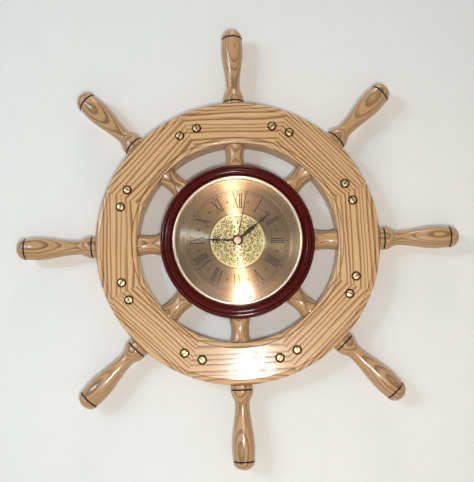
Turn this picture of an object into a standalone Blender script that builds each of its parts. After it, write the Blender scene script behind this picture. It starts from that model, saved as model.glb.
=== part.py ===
"""Ship wheel clock: an eight-spoke turned wheel round a wooden hub that holds a quartz insert clock.

The wheel hangs on a wall. The wall is the plane y = 0, the front of the clock faces -Y and +Z is up.
"Forward" below is the distance from the wall, so a point at forward f has y = -f. Angles run clockwise
from the top, as seen from the front, so the twelve-o'clock direction is 0 and three o'clock is 90 degrees.
"""

import math

import bmesh
import bpy
from mathutils import Matrix, Vector, geometry

MM = 0.001
CLEARANCE = 0.3 * MM
OVERRUN = 2.0 * MM

# Counts
SPOKES = 8
RIM_SIDES = 48
CASE_SIDES = 32
SPINDLE_SIDES = 10
SCREW_SIDES = 8
SHAFT_SIDES = 10

# Wheel rim: a ring of mitred segments screwed to a backing ring, with the spindles between them
RIM_INNER_RADIUS = 102.0 * MM
RIM_WIDTH = 42.0 * MM
SPOKE_FORWARD = 19.0 * MM
LAYER_THICKNESS = 12.7 * MM
EDGE_ROUND = 4.0 * MM
EDGE_STEP = 0.8 * MM
EDGE_STEP_SLOPE = 0.4 * MM
BACK_CHAMFER = 2.0 * MM

# Rim screws: brass, oval head, in pairs astride each mitre
SCREW_OUTSET = 1.0 * MM
SCREW_OFFSET = 9.4 * MM
SCREW_HEAD_RADIUS = 4.5 * MM
SCREW_HEAD_DOME = 1.3 * MM
SCREW_HEAD_CONE = 2.2 * MM
SCREW_DOME_BREAK = 50
SCREW_SHANK_RADIUS = 2.0 * MM
SCREW_LENGTH = 22.0 * MM

# Spindles: one turned piece each, from the tenon in the hub to the end of the handle
SPINDLE_CORE_RADIUS = 8.0 * MM
TENON_LENGTH = 11.5 * MM
SPOKE_HUB_RADIUS = 9.6 * MM
SPOKE_WAIST_RADIUS = 8.4 * MM
SPOKE_RIM_RADIUS = 10.4 * MM
HANDLE_LENGTH = 84.5 * MM
COLLAR_RADIUS = 10.0 * MM
COLLAR_LENGTH = 4.8 * MM
BURNT_GROOVE_DEPTH = 0.8 * MM
BURNT_GROOVE_HALF_WIDTH = 0.6 * MM
FLARE_RADIUS = 10.2 * MM
FLARE_REACH = 8.0 * MM
HANDLE_WAIST_RADIUS = 6.7 * MM
HANDLE_WAIST_REACH = 20.6 * MM
HANDLE_BELLY_RADIUS = 11.2 * MM
HANDLE_BELLY_REACH = 67.0 * MM
HANDLE_TIP_RADIUS = 10.2 * MM
TIP_LENGTH = 8.5 * MM

# Hub: a turned block with a moulded front ring, bored from the front for the insert clock
HUB_FLOOR = 8.0 * MM
HUB_LAND_FORWARD = 33.0 * MM
HUB_BACK_CHAMFER = 1.5 * MM
BEZEL_MARGIN = 0.7 * MM
HUB_COVE_WIDTH = 1.9 * MM
HUB_COVE_HEIGHT = 2.2 * MM
HUB_BEAD_WIDTH = 5.9 * MM
HUB_BEAD_HEIGHT = 2.8 * MM
HUB_FILLET_WIDTH = 0.7 * MM
HUB_SHOULDER_WIDTH = 3.5 * MM
HUB_SHOULDER_DROP = 3.2 * MM

# Hanger: a sawtooth plate let into the back of the hub
HANGER_EDGE_DISTANCE = 28.0 * MM
HANGER_LENGTH = 56.0 * MM
HANGER_WIDTH = 12.0 * MM
HANGER_THICKNESS = 0.9 * MM
HANGER_RECESS = 0.4 * MM
HANGER_TOOTH_DEPTH = 1.8 * MM
HANGER_TOOTH_PITCH = 3.2 * MM
HANGER_TOOTHED_LENGTH = 32.0 * MM
NAIL_POCKET_LENGTH = 42.0 * MM
NAIL_POCKET_WIDTH = 17.0 * MM
NAIL_POCKET_DEPTH = 4.5 * MM

# Insert clock: cup, gasket, dial, bezel and glass
CUP_INSET = 6.4 * MM
CUP_WALL = 1.2 * MM
CUP_BACK_FORWARD = 12.0 * MM
FLANGE_THICKNESS = 0.8 * MM
FLANGE_MARGIN = 0.1 * MM
GASKET_BACK_FORWARD = 20.0 * MM
GASKET_LENGTH = 11.0 * MM
GASKET_THICKNESS = 1.5 * MM
DIAL_RADIUS = 61.9 * MM
DIAL_THICKNESS = 0.6 * MM
DIAL_MARGIN_WIDTH = 8.4 * MM
DIAL_MARGIN_STEP = 0.3 * MM
MEDALLION_RADIUS = 27.4 * MM
MEDALLION_STEP = 0.25 * MM
BEZEL_WALL = 1.4 * MM
BEZEL_LIP_OVERLAP = 0.8 * MM
BEZEL_LENS_SEAT = 4.7 * MM
BEZEL_LIP_THICKNESS = 0.8 * MM
BEZEL_CREST = 0.7 * MM
LENS_SEAT_WIDTH = 1.3 * MM
LENS_THICKNESS = 1.8 * MM
LENS_RISE = 6.0 * MM
LENS_RING_SHARES = (0.5, 0.8)

# Movement case: a moulded front half with the bushing and battery bay, and a rear cover
CASE_HALF_WIDTH = 28.0 * MM
CASE_DEPTH = 15.2 * MM
CASE_WALL = 1.2 * MM
BAY_DIVIDER_TOP = -11.0 * MM
BAY_DIVIDER_THICKNESS = 0.8 * MM
COVER_THICKNESS = 1.2 * MM
BUSHING_RADIUS = 3.8 * MM
NUT_RADIUS = 5.2 * MM
NUT_THICKNESS = 1.2 * MM
BEARING_BOSS_RADIUS = 1.7 * MM
BEARING_BOSS_HEIGHT = 1.0 * MM
BEARING_FLOOR = 0.2 * MM

# Arbors and pipes, from the inside out
ARBOR_RADIUS = 0.6 * MM
MINUTE_PIPE_RADIUS = 1.5 * MM
HOUR_PIPE_RADIUS = 2.5 * MM
KNOB_ARBOR_RADIUS = 0.8 * MM
KNOB_RADIUS = 4.2 * MM
KNOB_THICKNESS = 3.0 * MM

# Gear train: teeth, modules and tooth shapes
ROTOR_PINION_TEETH = 6
REDUCTION_WHEEL_TEETH = 36
REDUCTION_PINION_TEETH = 6
SECONDS_WHEEL_TEETH = 30
SECONDS_PINION_TEETH = 6
THIRD_WHEEL_TEETH = 45
THIRD_PINION_TEETH = 6
CENTRE_WHEEL_TEETH = 48
CANNON_PINION_TEETH = 10
MOTION_WHEEL_TEETH = 30
MOTION_PINION_TEETH = 8
HOUR_WHEEL_TEETH = 32
KNOB_PINION_TEETH = 10
ROTOR_MODULE = 0.40 * MM
REDUCTION_MODULE = 0.65 * MM
THIRD_MODULE = 0.45 * MM
MOTION_MODULE = 0.40 * MM
ADDENDUM_SHARE = 0.6
DEDENDUM_SHARE = 0.95
PINION_ROOT_SHARE = 0.42
PINION_TIP_SHARE = 0.20
WHEEL_THICKNESS = 1.0 * MM
PLANE_PITCH = 1.8 * MM
FIRST_PLANE_LIFT = 1.5 * MM
REDUCTION_ANGLE = math.radians(-30)
THIRD_ANGLE = math.radians(90)
MOTION_ANGLE = math.radians(-90)
ROTOR_ANGLE = math.radians(50)

# Stepping motor, circuit and battery
MAGNET_RADIUS = 2.6 * MM
MAGNET_LENGTH = 3.0 * MM
STATOR_THICKNESS = 1.0 * MM
STATOR_BORE_RADIUS = 3.1 * MM
STATOR_HALF_WIDTH = 16.0 * MM
STATOR_LEG_WIDTH = 3.4 * MM
STATOR_BAR_HALF_HEIGHT = 3.9 * MM
STATOR_HEIGHT = 12.4 * MM
POST_RADIUS = 1.3 * MM
COIL_RADIUS = 2.6 * MM
COIL_FLANGE_RADIUS = 3.1 * MM
COIL_FLANGE_THICKNESS = 0.8 * MM
BOARD_HEIGHT = 5.0 * MM
BOARD_THICKNESS = 1.0 * MM
BATTERY_RADIUS = 7.1 * MM
BATTERY_LENGTH = 50.0 * MM
BATTERY_NUB_RADIUS = 2.6 * MM
BATTERY_NUB_LENGTH = 1.2 * MM
BATTERY_SHOULDER = 0.6 * MM
CONTACT_THICKNESS = 0.4 * MM
CONTACT_HEIGHT = 11.0 * MM
CONTACT_DEPTH = 9.0 * MM
CONTACT_BULGE_RADIUS = 3.0 * MM

# Hands: tip gaps are from the dial's edge, setbacks from the hand's own tip
HAND_THICKNESS = 0.4 * MM
HAND_PITCH = 1.2 * MM
NECK_HALF_WIDTH = 0.5 * MM
HOUR_TIP_GAP = 27.7 * MM
HOUR_HAND_HALF_WIDTH = 1.2 * MM
HOUR_BELLY_SHARE = 0.28
HOUR_ORNAMENT_SETBACK = 13.0 * MM
HOUR_ORNAMENT_RADIUS = 3.7 * MM
HOUR_BOSS_RADIUS = 5.4 * MM
MINUTE_TIP_GAP = 19.1 * MM
MINUTE_HAND_HALF_WIDTH = 2.0 * MM
MINUTE_BELLY_SHARE = 0.40
MINUTE_NECK_SETBACK = 15.8 * MM
MINUTE_ORNAMENT_SETBACK = 10.2 * MM
MINUTE_ORNAMENT_RADIUS = 2.1 * MM
MINUTE_BOSS_RADIUS = 5.2 * MM
PIERCING_SHARE = 0.55
SECOND_TIP_GAP = 11.4 * MM
SECOND_TAIL_LENGTH = 15.0 * MM
SECOND_HALF_WIDTH = 0.35 * MM
SECOND_TAIL_HALF_WIDTH = 0.8 * MM
SECOND_BOSS_RADIUS = 4.1 * MM

# The insert clock sits a little clockwise of the wheel, and shows eight minutes and two seconds past nine
INSERT_TURN = math.radians(1.7)
HOUR_HAND_ANGLE = INSERT_TURN + math.radians(271.8)
MINUTE_HAND_ANGLE = INSERT_TURN + math.radians(49.5)
SECOND_HAND_ANGLE = INSERT_TURN + math.radians(10.5)

# Sizes and places worked out from the ones above
RIM_OUTER_RADIUS = RIM_INNER_RADIUS + RIM_WIDTH
SCREW_CIRCLE_RADIUS = (RIM_INNER_RADIUS + RIM_OUTER_RADIUS) / 2 + SCREW_OUTSET
CUP_RADIUS = DIAL_RADIUS - CUP_INSET
FLANGE_RADIUS = DIAL_RADIUS + FLANGE_MARGIN
BEZEL_BORE_RADIUS = FLANGE_RADIUS + CLEARANCE
LENS_RADIUS = BEZEL_BORE_RADIUS + LENS_SEAT_WIDTH
BEZEL_LIP_RADIUS = LENS_RADIUS - BEZEL_LIP_OVERLAP
BEZEL_RADIUS = LENS_RADIUS + CLEARANCE + BEZEL_WALL
HUB_BORE_RADIUS = CUP_RADIUS + GASKET_THICKNESS + 2 * CLEARANCE
HUB_COVE_INNER_RADIUS = BEZEL_RADIUS + BEZEL_MARGIN
HUB_BEAD_INNER_RADIUS = HUB_COVE_INNER_RADIUS + HUB_COVE_WIDTH
HUB_BEAD_OUTER_RADIUS = HUB_BEAD_INNER_RADIUS + HUB_BEAD_WIDTH
HUB_SHOULDER_INNER_RADIUS = HUB_BEAD_OUTER_RADIUS + HUB_FILLET_WIDTH
HUB_RADIUS = HUB_SHOULDER_INNER_RADIUS + HUB_SHOULDER_WIDTH
HUB_COVE_FORWARD = HUB_LAND_FORWARD + HUB_COVE_HEIGHT
HANGER_HEIGHT = HUB_RADIUS - HANGER_EDGE_DISTANCE
HOUR_HAND_LENGTH = DIAL_RADIUS - HOUR_TIP_GAP
MINUTE_HAND_LENGTH = DIAL_RADIUS - MINUTE_TIP_GAP
SECOND_HAND_LENGTH = DIAL_RADIUS - SECOND_TIP_GAP
SEGMENT_HALF_ANGLE = math.pi / SPOKES
RIM_FRONT_FORWARD = SPOKE_FORWARD + LAYER_THICKNESS
RIM_BACK_FORWARD = SPOKE_FORWARD - LAYER_THICKNESS
SCREW_ANGLE = math.asin(SCREW_OFFSET / SCREW_CIRCLE_RADIUS)
FLANGE_BACK_FORWARD = HUB_LAND_FORWARD + CLEARANCE
DIAL_BACK_FORWARD = FLANGE_BACK_FORWARD + FLANGE_THICKNESS + CLEARANCE
DIAL_FORWARD = DIAL_BACK_FORWARD + DIAL_THICKNESS
LENS_SEAT_FORWARD = FLANGE_BACK_FORWARD + BEZEL_LENS_SEAT
CASE_FRONT_FORWARD = DIAL_BACK_FORWARD - CLEARANCE
CASE_INNER_FRONT = CASE_FRONT_FORWARD - CASE_WALL
CASE_BACK_FORWARD = CASE_FRONT_FORWARD - CASE_DEPTH
COVER_INNER_FORWARD = CASE_BACK_FORWARD - CLEARANCE
COVER_BACK_FORWARD = COVER_INNER_FORWARD - COVER_THICKNESS
BUSHING_BORE_RADIUS = HOUR_PIPE_RADIUS + CLEARANCE
NUT_BACK_FORWARD = DIAL_FORWARD + CLEARANCE
NUT_FRONT_FORWARD = NUT_BACK_FORWARD + NUT_THICKNESS
HOUR_HAND_FORWARD = NUT_FRONT_FORWARD + CLEARANCE
MINUTE_HAND_FORWARD = HOUR_HAND_FORWARD + HAND_PITCH
SECOND_HAND_FORWARD = MINUTE_HAND_FORWARD + HAND_PITCH
BATTERY_AXIS_HEIGHT = BAY_DIVIDER_TOP - BAY_DIVIDER_THICKNESS - CLEARANCE - BATTERY_RADIUS
BATTERY_FORWARD = CASE_INNER_FRONT - CLEARANCE - BATTERY_RADIUS
FIRST_PLANE = COVER_INNER_FORWARD + FIRST_PLANE_LIFT
PIVOT_INSET = BEARING_FLOOR + CLEARANCE


def plane(number):
    """Forward distance of the back face of the wheels in one plane of the train, 0 nearest the wall."""
    return FIRST_PLANE + number * PLANE_PITCH


def direction(angle):
    """Unit direction on the dial, clockwise from the top, as (x, z)."""
    return Vector((math.sin(angle), math.cos(angle)))


def centre_distance(teeth_a, teeth_b, module):
    return (teeth_a + teeth_b) / 2 * module


REDUCTION_PLACE = direction(REDUCTION_ANGLE) * centre_distance(
    REDUCTION_PINION_TEETH, SECONDS_WHEEL_TEETH, REDUCTION_MODULE)
THIRD_PLACE = direction(THIRD_ANGLE) * centre_distance(
    SECONDS_PINION_TEETH, THIRD_WHEEL_TEETH, THIRD_MODULE)
CENTRE_MODULE = THIRD_PLACE.length * 2 / (THIRD_PINION_TEETH + CENTRE_WHEEL_TEETH)
MOTION_PLACE = direction(MOTION_ANGLE) * centre_distance(
    CANNON_PINION_TEETH, MOTION_WHEEL_TEETH, MOTION_MODULE)
KNOB_PLACE = MOTION_PLACE + direction(MOTION_ANGLE) * centre_distance(
    KNOB_PINION_TEETH, MOTION_WHEEL_TEETH, MOTION_MODULE)
ROTOR_PLACE = REDUCTION_PLACE + direction(ROTOR_ANGLE) * centre_distance(
    ROTOR_PINION_TEETH, REDUCTION_WHEEL_TEETH, ROTOR_MODULE)
CENTRE_PLACE = Vector((0, 0))
MAGNET_FORWARD = plane(2)
STATOR_FORWARD = MAGNET_FORWARD + (MAGNET_LENGTH - STATOR_THICKNESS) / 2
STATOR_LEG_X = STATOR_HALF_WIDTH - STATOR_LEG_WIDTH / 2
COIL_HALF_LENGTH = STATOR_HALF_WIDTH - STATOR_LEG_WIDTH - CLEARANCE
COIL_HEIGHT = ROTOR_PLACE.y + STATOR_BAR_HALF_HEIGHT + CLEARANCE + COIL_FLANGE_RADIUS


def clear_scene():
    for item in list(bpy.data.objects):
        bpy.data.objects.remove(item, do_unlink=True)


def material(name, colour, roughness, metallic=0.0, alpha=1.0):
    """A Principled material in one colour, given as linear red, green and blue."""
    made = bpy.data.materials.new(name)
    made.use_nodes = True
    shader = made.node_tree.nodes["Principled BSDF"]
    shader.inputs["Base Color"].default_value = (*colour, 1.0)
    shader.inputs["Roughness"].default_value = roughness
    shader.inputs["Metallic"].default_value = metallic
    shader.inputs["Alpha"].default_value = alpha
    return made


def add_object(name, mesh, finish=None):
    made = bpy.data.objects.new(name, mesh)
    bpy.context.scene.collection.objects.link(made)
    if finish is not None:
        mesh.materials.clear()
        mesh.materials.append(finish)
    return made


def finish_mesh(name, model, smooth_angle=math.radians(35)):
    """Turns a bmesh into a mesh with its faces pointing out and its round sides shaded smooth."""
    bmesh.ops.recalc_face_normals(model, faces=model.faces)
    mesh = bpy.data.meshes.new(name)
    model.to_mesh(mesh)
    model.free()
    mesh.shade_smooth()
    mesh.set_sharp_from_angle(angle=smooth_angle)
    return mesh


def point(x, forward, z):
    return Vector((x, -forward, z))


def turned(name, profile, sides, ring=False):
    """A solid turned about the clock's axis from a profile of (radius, forward) points.

    A solid without a hole has its first and last points on the axis. A ring's profile is a closed loop.
    """
    model = bmesh.new()
    rows = []
    for radius, forward in profile:
        if radius == 0:
            rows.append([model.verts.new(point(0, forward, 0))])
            continue
        row = []
        for side in range(sides):
            spot = direction(2 * math.pi * side / sides) * radius
            row.append(model.verts.new(point(spot.x, forward, spot.y)))
        rows.append(row)
    pairs = list(zip(rows, rows[1:]))
    if ring:
        pairs.append((rows[-1], rows[0]))
    for first, second in pairs:
        for side in range(sides):
            after = (side + 1) % sides
            if len(first) == 1 and len(second) == 1:
                continue
            if len(first) == 1:
                model.faces.new((first[0], second[side], second[after]))
            elif len(second) == 1:
                model.faces.new((first[side], first[after], second[0]))
            else:
                model.faces.new((first[side], first[after], second[after], second[side]))
    return finish_mesh(name, model)


def prism(name, outline, back, front, holes=()):
    """A flat piece cut from an outline of (x, z) points, from forward distance back to front."""
    loops = [[Vector((x, z, 0)) for x, z in loop] for loop in (outline, *holes)]
    model = bmesh.new()
    ends = []
    for forward in (back, front):
        ends.append([[model.verts.new(point(spot.x, forward, spot.y)) for spot in loop] for loop in loops])
    for end in ends:
        corners = [vert for loop in end for vert in loop]
        for triangle in geometry.tessellate_polygon(loops):
            model.faces.new([corners[index] for index in triangle])
    for lower, upper in zip(*ends):
        for index in range(len(lower)):
            after = (index + 1) % len(lower)
            model.faces.new((lower[index], lower[after], upper[after], upper[index]))
    return finish_mesh(name, model)


def rod(radius, back, front, sides=SHAFT_SIDES):
    return turned("rod", [(0, back), (radius, back), (radius, front), (0, front)], sides)


def tube(radius, bore, back, front, sides=SHAFT_SIDES):
    return turned("tube", [(bore, back), (radius, back), (radius, front), (bore, front)], sides, ring=True)


def box(x_low, x_high, back, front, z_low, z_high):
    outline = [(x_low, z_low), (x_high, z_low), (x_high, z_high), (x_low, z_high)]
    return prism("box", outline, back, front)


def circle(radius, sides, centre=CENTRE_PLACE):
    spots = [direction(2 * math.pi * side / sides) * radius + centre for side in range(sides)]
    return [(spot.x, spot.y) for spot in spots]


def moved(mesh, matrix):
    mesh.transform(matrix)
    return mesh


def at(mesh, place):
    """Moves a mesh made on the clock's axis to a place (x, z) on the dial."""
    return moved(mesh, Matrix.Translation(point(place.x, 0, place.y)))


def laid_along_x(mesh):
    """Turns a mesh from the clock's axis to the x axis: what was forward then points to +X."""
    return moved(mesh, Matrix.Rotation(math.radians(90), 4, "Z"))


def laid_upward(mesh):
    """Turns a mesh from the clock's axis to the z axis: what was forward then points up."""
    return moved(mesh, Matrix.Rotation(math.radians(-90), 4, "X"))


def combined(mesh, steps):
    """Applies a list of (operation, mesh) steps to a mesh with Boolean modifiers."""
    base = add_object("base", mesh)
    for operation, tool_mesh in steps:
        tool = add_object("tool", tool_mesh)
        tool.hide_render = True
        modifier = base.modifiers.new(operation, "BOOLEAN")
        modifier.operation = operation
        modifier.object = tool
        depsgraph = bpy.context.evaluated_depsgraph_get()
        result = bpy.data.meshes.new_from_object(base.evaluated_get(depsgraph))
        base.modifiers.clear()
        base.data = result
        bpy.data.objects.remove(tool, do_unlink=True)
    result = base.data
    bpy.data.objects.remove(base, do_unlink=True)
    result.shade_smooth()
    result.set_sharp_from_angle(angle=math.radians(35))
    return result


def cut(mesh, *tools):
    return combined(mesh, [("DIFFERENCE", tool) for tool in tools])


def joined(mesh, *tools):
    return combined(mesh, [("UNION", tool) for tool in tools])


def eased(start, end, steps):
    """Points from start to end, (along, radius), leaving and arriving level as a turner's curve does."""
    points = []
    for step in range(1, steps + 1):
        share = step / steps
        blend = (1 - math.cos(math.pi * share)) / 2
        points.append((start[0] + (end[0] - start[0]) * share, start[1] + (end[1] - start[1]) * blend))
    return points


def arc(centre, radii, first, last, steps):
    """Points on an ellipse's arc, from one angle to another, in degrees from the first axis."""
    points = []
    for step in range(steps + 1):
        angle = math.radians(first + (last - first) * step / steps)
        points.append((centre[0] + radii[0] * math.cos(angle), centre[1] + radii[1] * math.sin(angle)))
    return points


def rim_front_profile():
    """Cross-section of a front segment: flat face, small step, then a quarter round to each edge."""
    back = SPOKE_FORWARD + CLEARANCE / 2
    step_forward = RIM_FRONT_FORWARD - EDGE_STEP
    outer_round = (RIM_OUTER_RADIUS - EDGE_ROUND, step_forward - EDGE_ROUND)
    inner_round = (RIM_INNER_RADIUS + EDGE_ROUND, step_forward - EDGE_ROUND)
    round_radii = (EDGE_ROUND, EDGE_ROUND)
    profile = [(RIM_INNER_RADIUS, back), (RIM_OUTER_RADIUS, back)]
    profile += arc(outer_round, round_radii, 0, 90, 2)
    profile += [(outer_round[0] - EDGE_STEP_SLOPE, RIM_FRONT_FORWARD)]
    profile += [(inner_round[0] + EDGE_STEP_SLOPE, RIM_FRONT_FORWARD)]
    profile += arc(inner_round, round_radii, 90, 180, 2)
    return profile


def swept(name, profile, half_angle, steps):
    """A profile of (radius, forward) points carried round the clock's axis, closed at both ends."""
    model = bmesh.new()
    rows = []
    for step in range(steps + 1):
        unit = direction(half_angle * (2 * step / steps - 1))
        rows.append([model.verts.new(point(unit.x * radius, forward, unit.y * radius))
                     for radius, forward in profile])
    for first, second in zip(rows, rows[1:]):
        for index in range(len(profile)):
            after = (index + 1) % len(profile)
            model.faces.new((first[index], first[after], second[after], second[index]))
    model.faces.new(rows[0])
    model.faces.new(rows[-1])
    return finish_mesh(name, model)


def spindle_groove():
    """Cutter for the half-round bed of a spindle, along +Z from inside the rim to outside it."""
    groove = rod(SPINDLE_CORE_RADIUS + CLEARANCE, RIM_INNER_RADIUS - EDGE_ROUND - OVERRUN,
                 RIM_OUTER_RADIUS + OVERRUN, SPINDLE_SIDES)
    return moved(laid_upward(groove), Matrix.Translation(point(0, SPOKE_FORWARD, 0)))


def screw_place(angle):
    return direction(angle) * SCREW_CIRCLE_RADIUS


def screw_seat(angle):
    """Cutter for one screw's countersunk hole, from past the front face to the screw's end."""
    face = RIM_FRONT_FORWARD
    hole = SCREW_SHANK_RADIUS + CLEARANCE
    slope = (SCREW_HEAD_RADIUS - SCREW_SHANK_RADIUS) / SCREW_HEAD_CONE
    profile = [(0, face - SCREW_LENGTH - CLEARANCE), (hole, face - SCREW_LENGTH - CLEARANCE),
               (hole, face - SCREW_HEAD_CONE - CLEARANCE),
               (hole + slope * (SCREW_HEAD_CONE + CLEARANCE + OVERRUN), face + OVERRUN),
               (0, face + OVERRUN)]
    return at(turned("seat", profile, SCREW_SIDES), screw_place(angle))


def build_rim(wood, backing_wood):
    half_angle = SEGMENT_HALF_ANGLE - math.asin(CLEARANCE / 2 / RIM_INNER_RADIUS)
    blank = swept("front_segment", rim_front_profile(), half_angle, RIM_SIDES // SPOKES)
    near_mitre = SEGMENT_HALF_ANGLE - SCREW_ANGLE
    segment = cut(blank, spindle_groove(), screw_seat(-near_mitre), screw_seat(near_mitre))
    for number in range(SPOKES):
        made = add_object(f"front_segment_{number + 1}", segment, wood)
        made.rotation_euler.y = number * 2 * SEGMENT_HALF_ANGLE

    front = SPOKE_FORWARD - CLEARANCE / 2
    profile = [(RIM_INNER_RADIUS, front), (RIM_OUTER_RADIUS, front),
               (RIM_OUTER_RADIUS, RIM_BACK_FORWARD + BACK_CHAMFER),
               (RIM_OUTER_RADIUS - BACK_CHAMFER, RIM_BACK_FORWARD),
               (RIM_INNER_RADIUS + BACK_CHAMFER, RIM_BACK_FORWARD),
               (RIM_INNER_RADIUS, RIM_BACK_FORWARD + BACK_CHAMFER)]
    ring = turned("backing_ring", profile, RIM_SIDES, ring=True)
    cutters = []
    for number in range(SPOKES):
        turn = Matrix.Rotation(number * 2 * SEGMENT_HALF_ANGLE, 4, "Y")
        cutters.append(moved(spindle_groove(), turn))
        cutters += [moved(screw_seat(side * near_mitre), turn) for side in (-1, 1)]
    add_object("backing_ring", cut(ring, *cutters), backing_wood)


def build_rim_screws(brass):
    face = RIM_FRONT_FORWARD
    dome = arc((0, face), (SCREW_HEAD_RADIUS, SCREW_HEAD_DOME), SCREW_DOME_BREAK, 0, 1)
    profile = [(0, face + SCREW_HEAD_DOME), *dome,
               (SCREW_SHANK_RADIUS, face - SCREW_HEAD_CONE),
               (SCREW_SHANK_RADIUS, face - SCREW_LENGTH),
               (0, face - SCREW_LENGTH)]
    screw = turned("rim_screw", profile, SCREW_SIDES)
    for mitre in range(SPOKES):
        for pair, side in enumerate((-1, 1)):
            angle = (2 * mitre + 1) * SEGMENT_HALF_ANGLE + side * SCREW_ANGLE
            made = add_object(f"rim_screw_{2 * mitre + pair + 1}", screw, brass)
            made.rotation_euler.y = angle
            place = screw_place(angle)
            made.location = point(place.x, 0, place.y)


def wall_distance(radius, sides, offset):
    """How far out a flat shoulder of a given radius may reach inside a faceted round wall."""
    return math.sqrt((radius * math.cos(math.pi / sides)) ** 2 - offset ** 2)


def spindle_profile():
    """The spindle's turned outline, (distance from the wheel's centre, radius)."""
    hub_face = HUB_RADIUS + CLEARANCE
    rim_inside = wall_distance(RIM_INNER_RADIUS, RIM_SIDES, SPOKE_RIM_RADIUS) - CLEARANCE
    rim_outside = RIM_OUTER_RADIUS + CLEARANCE
    groove = rim_outside + COLLAR_LENGTH
    tip = rim_outside + HANDLE_LENGTH
    tip_groove = tip - TIP_LENGTH
    spoke_middle = (hub_face + rim_inside) / 2
    core = SPINDLE_CORE_RADIUS
    tenon_end = hub_face - TENON_LENGTH
    profile = [(tenon_end, 0), (tenon_end, core), (hub_face, core), (hub_face, SPOKE_HUB_RADIUS)]
    profile += eased(profile[-1], (spoke_middle, SPOKE_WAIST_RADIUS), 2)
    profile += eased(profile[-1], (rim_inside, SPOKE_RIM_RADIUS), 2)
    profile += [(rim_inside, core), (rim_outside, core), (rim_outside, COLLAR_RADIUS)]
    profile += burnt_groove(groove, COLLAR_RADIUS)
    profile += [(rim_outside + FLARE_REACH, FLARE_RADIUS)]
    profile += eased(profile[-1], (rim_outside + HANDLE_WAIST_REACH, HANDLE_WAIST_RADIUS), 3)
    profile += eased(profile[-1], (rim_outside + HANDLE_BELLY_REACH, HANDLE_BELLY_RADIUS), 3)
    profile += burnt_groove(tip_groove, HANDLE_TIP_RADIUS)
    dome = (TIP_LENGTH - BURNT_GROOVE_HALF_WIDTH, HANDLE_TIP_RADIUS)
    profile += arc((tip_groove + BURNT_GROOVE_HALF_WIDTH, 0), dome, 90, 0, 3)[1:-1]
    profile += [(tip, 0)]
    return profile


def burnt_groove(along, radius):
    """Three points of a fine V-groove, burnt dark on the lathe with a wire."""
    return [(along - BURNT_GROOVE_HALF_WIDTH, radius),
            (along, radius - BURNT_GROOVE_DEPTH),
            (along + BURNT_GROOVE_HALF_WIDTH, radius)]


def build_spindles(wood):
    profile = [(radius, along) for along, radius in spindle_profile()]
    spindle = laid_upward(turned("spindle", profile, SPINDLE_SIDES))
    for number in range(SPOKES):
        made = add_object(f"spindle_{number + 1}", spindle, wood)
        made.rotation_euler.y = number * 2 * SEGMENT_HALF_ANGLE
        made.location = point(0, SPOKE_FORWARD, 0)


def hub_profile():
    """Cross-section of the hub: bored from the front, with a bead and a rounded shoulder round it."""
    bead_centre = ((HUB_BEAD_INNER_RADIUS + HUB_BEAD_OUTER_RADIUS) / 2, HUB_COVE_FORWARD)
    bead_radii = ((HUB_BEAD_OUTER_RADIUS - HUB_BEAD_INNER_RADIUS) / 2, HUB_BEAD_HEIGHT)
    shoulder_centre = (HUB_SHOULDER_INNER_RADIUS, HUB_COVE_FORWARD - HUB_SHOULDER_DROP)
    shoulder_radii = (HUB_RADIUS - HUB_SHOULDER_INNER_RADIUS, HUB_SHOULDER_DROP + EDGE_STEP)
    profile = [(0, HUB_FLOOR), (HUB_BORE_RADIUS, HUB_FLOOR), (HUB_BORE_RADIUS, HUB_LAND_FORWARD),
               (HUB_COVE_INNER_RADIUS, HUB_LAND_FORWARD), (HUB_COVE_INNER_RADIUS, HUB_COVE_FORWARD)]
    profile += arc(bead_centre, bead_radii, 180, 0, 4)
    profile += arc(shoulder_centre, shoulder_radii, 90, 0, 2)
    profile += [(HUB_RADIUS, HUB_BACK_CHAMFER), (HUB_RADIUS - HUB_BACK_CHAMFER, 0), (0, 0)]
    return profile


def build_hub(mahogany):
    block = turned("hub_body", hub_profile(), CASE_SIDES)
    mortise_end = HUB_RADIUS - TENON_LENGTH
    cutters = []
    for number in range(SPOKES):
        mortise = rod(SPINDLE_CORE_RADIUS + CLEARANCE, mortise_end, HUB_RADIUS + OVERRUN, SPINDLE_SIDES)
        mortise = moved(laid_upward(mortise), Matrix.Translation(point(0, SPOKE_FORWARD, 0)))
        cutters.append(moved(mortise, Matrix.Rotation(number * 2 * SEGMENT_HALF_ANGLE, 4, "Y")))
    half_length = HANGER_LENGTH / 2 + CLEARANCE
    half_width = HANGER_WIDTH / 2 + CLEARANCE
    plate_bed = HANGER_RECESS + HANGER_THICKNESS + CLEARANCE
    cutters.append(box(-half_length, half_length, -OVERRUN, plate_bed,
                       HANGER_HEIGHT - half_width, HANGER_HEIGHT + half_width))
    cutters.append(box(-NAIL_POCKET_LENGTH / 2, NAIL_POCKET_LENGTH / 2, -OVERRUN, NAIL_POCKET_DEPTH,
                       HANGER_HEIGHT - NAIL_POCKET_WIDTH / 2, HANGER_HEIGHT + NAIL_POCKET_WIDTH / 2))
    add_object("hub_body", cut(block, *cutters), mahogany)


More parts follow.
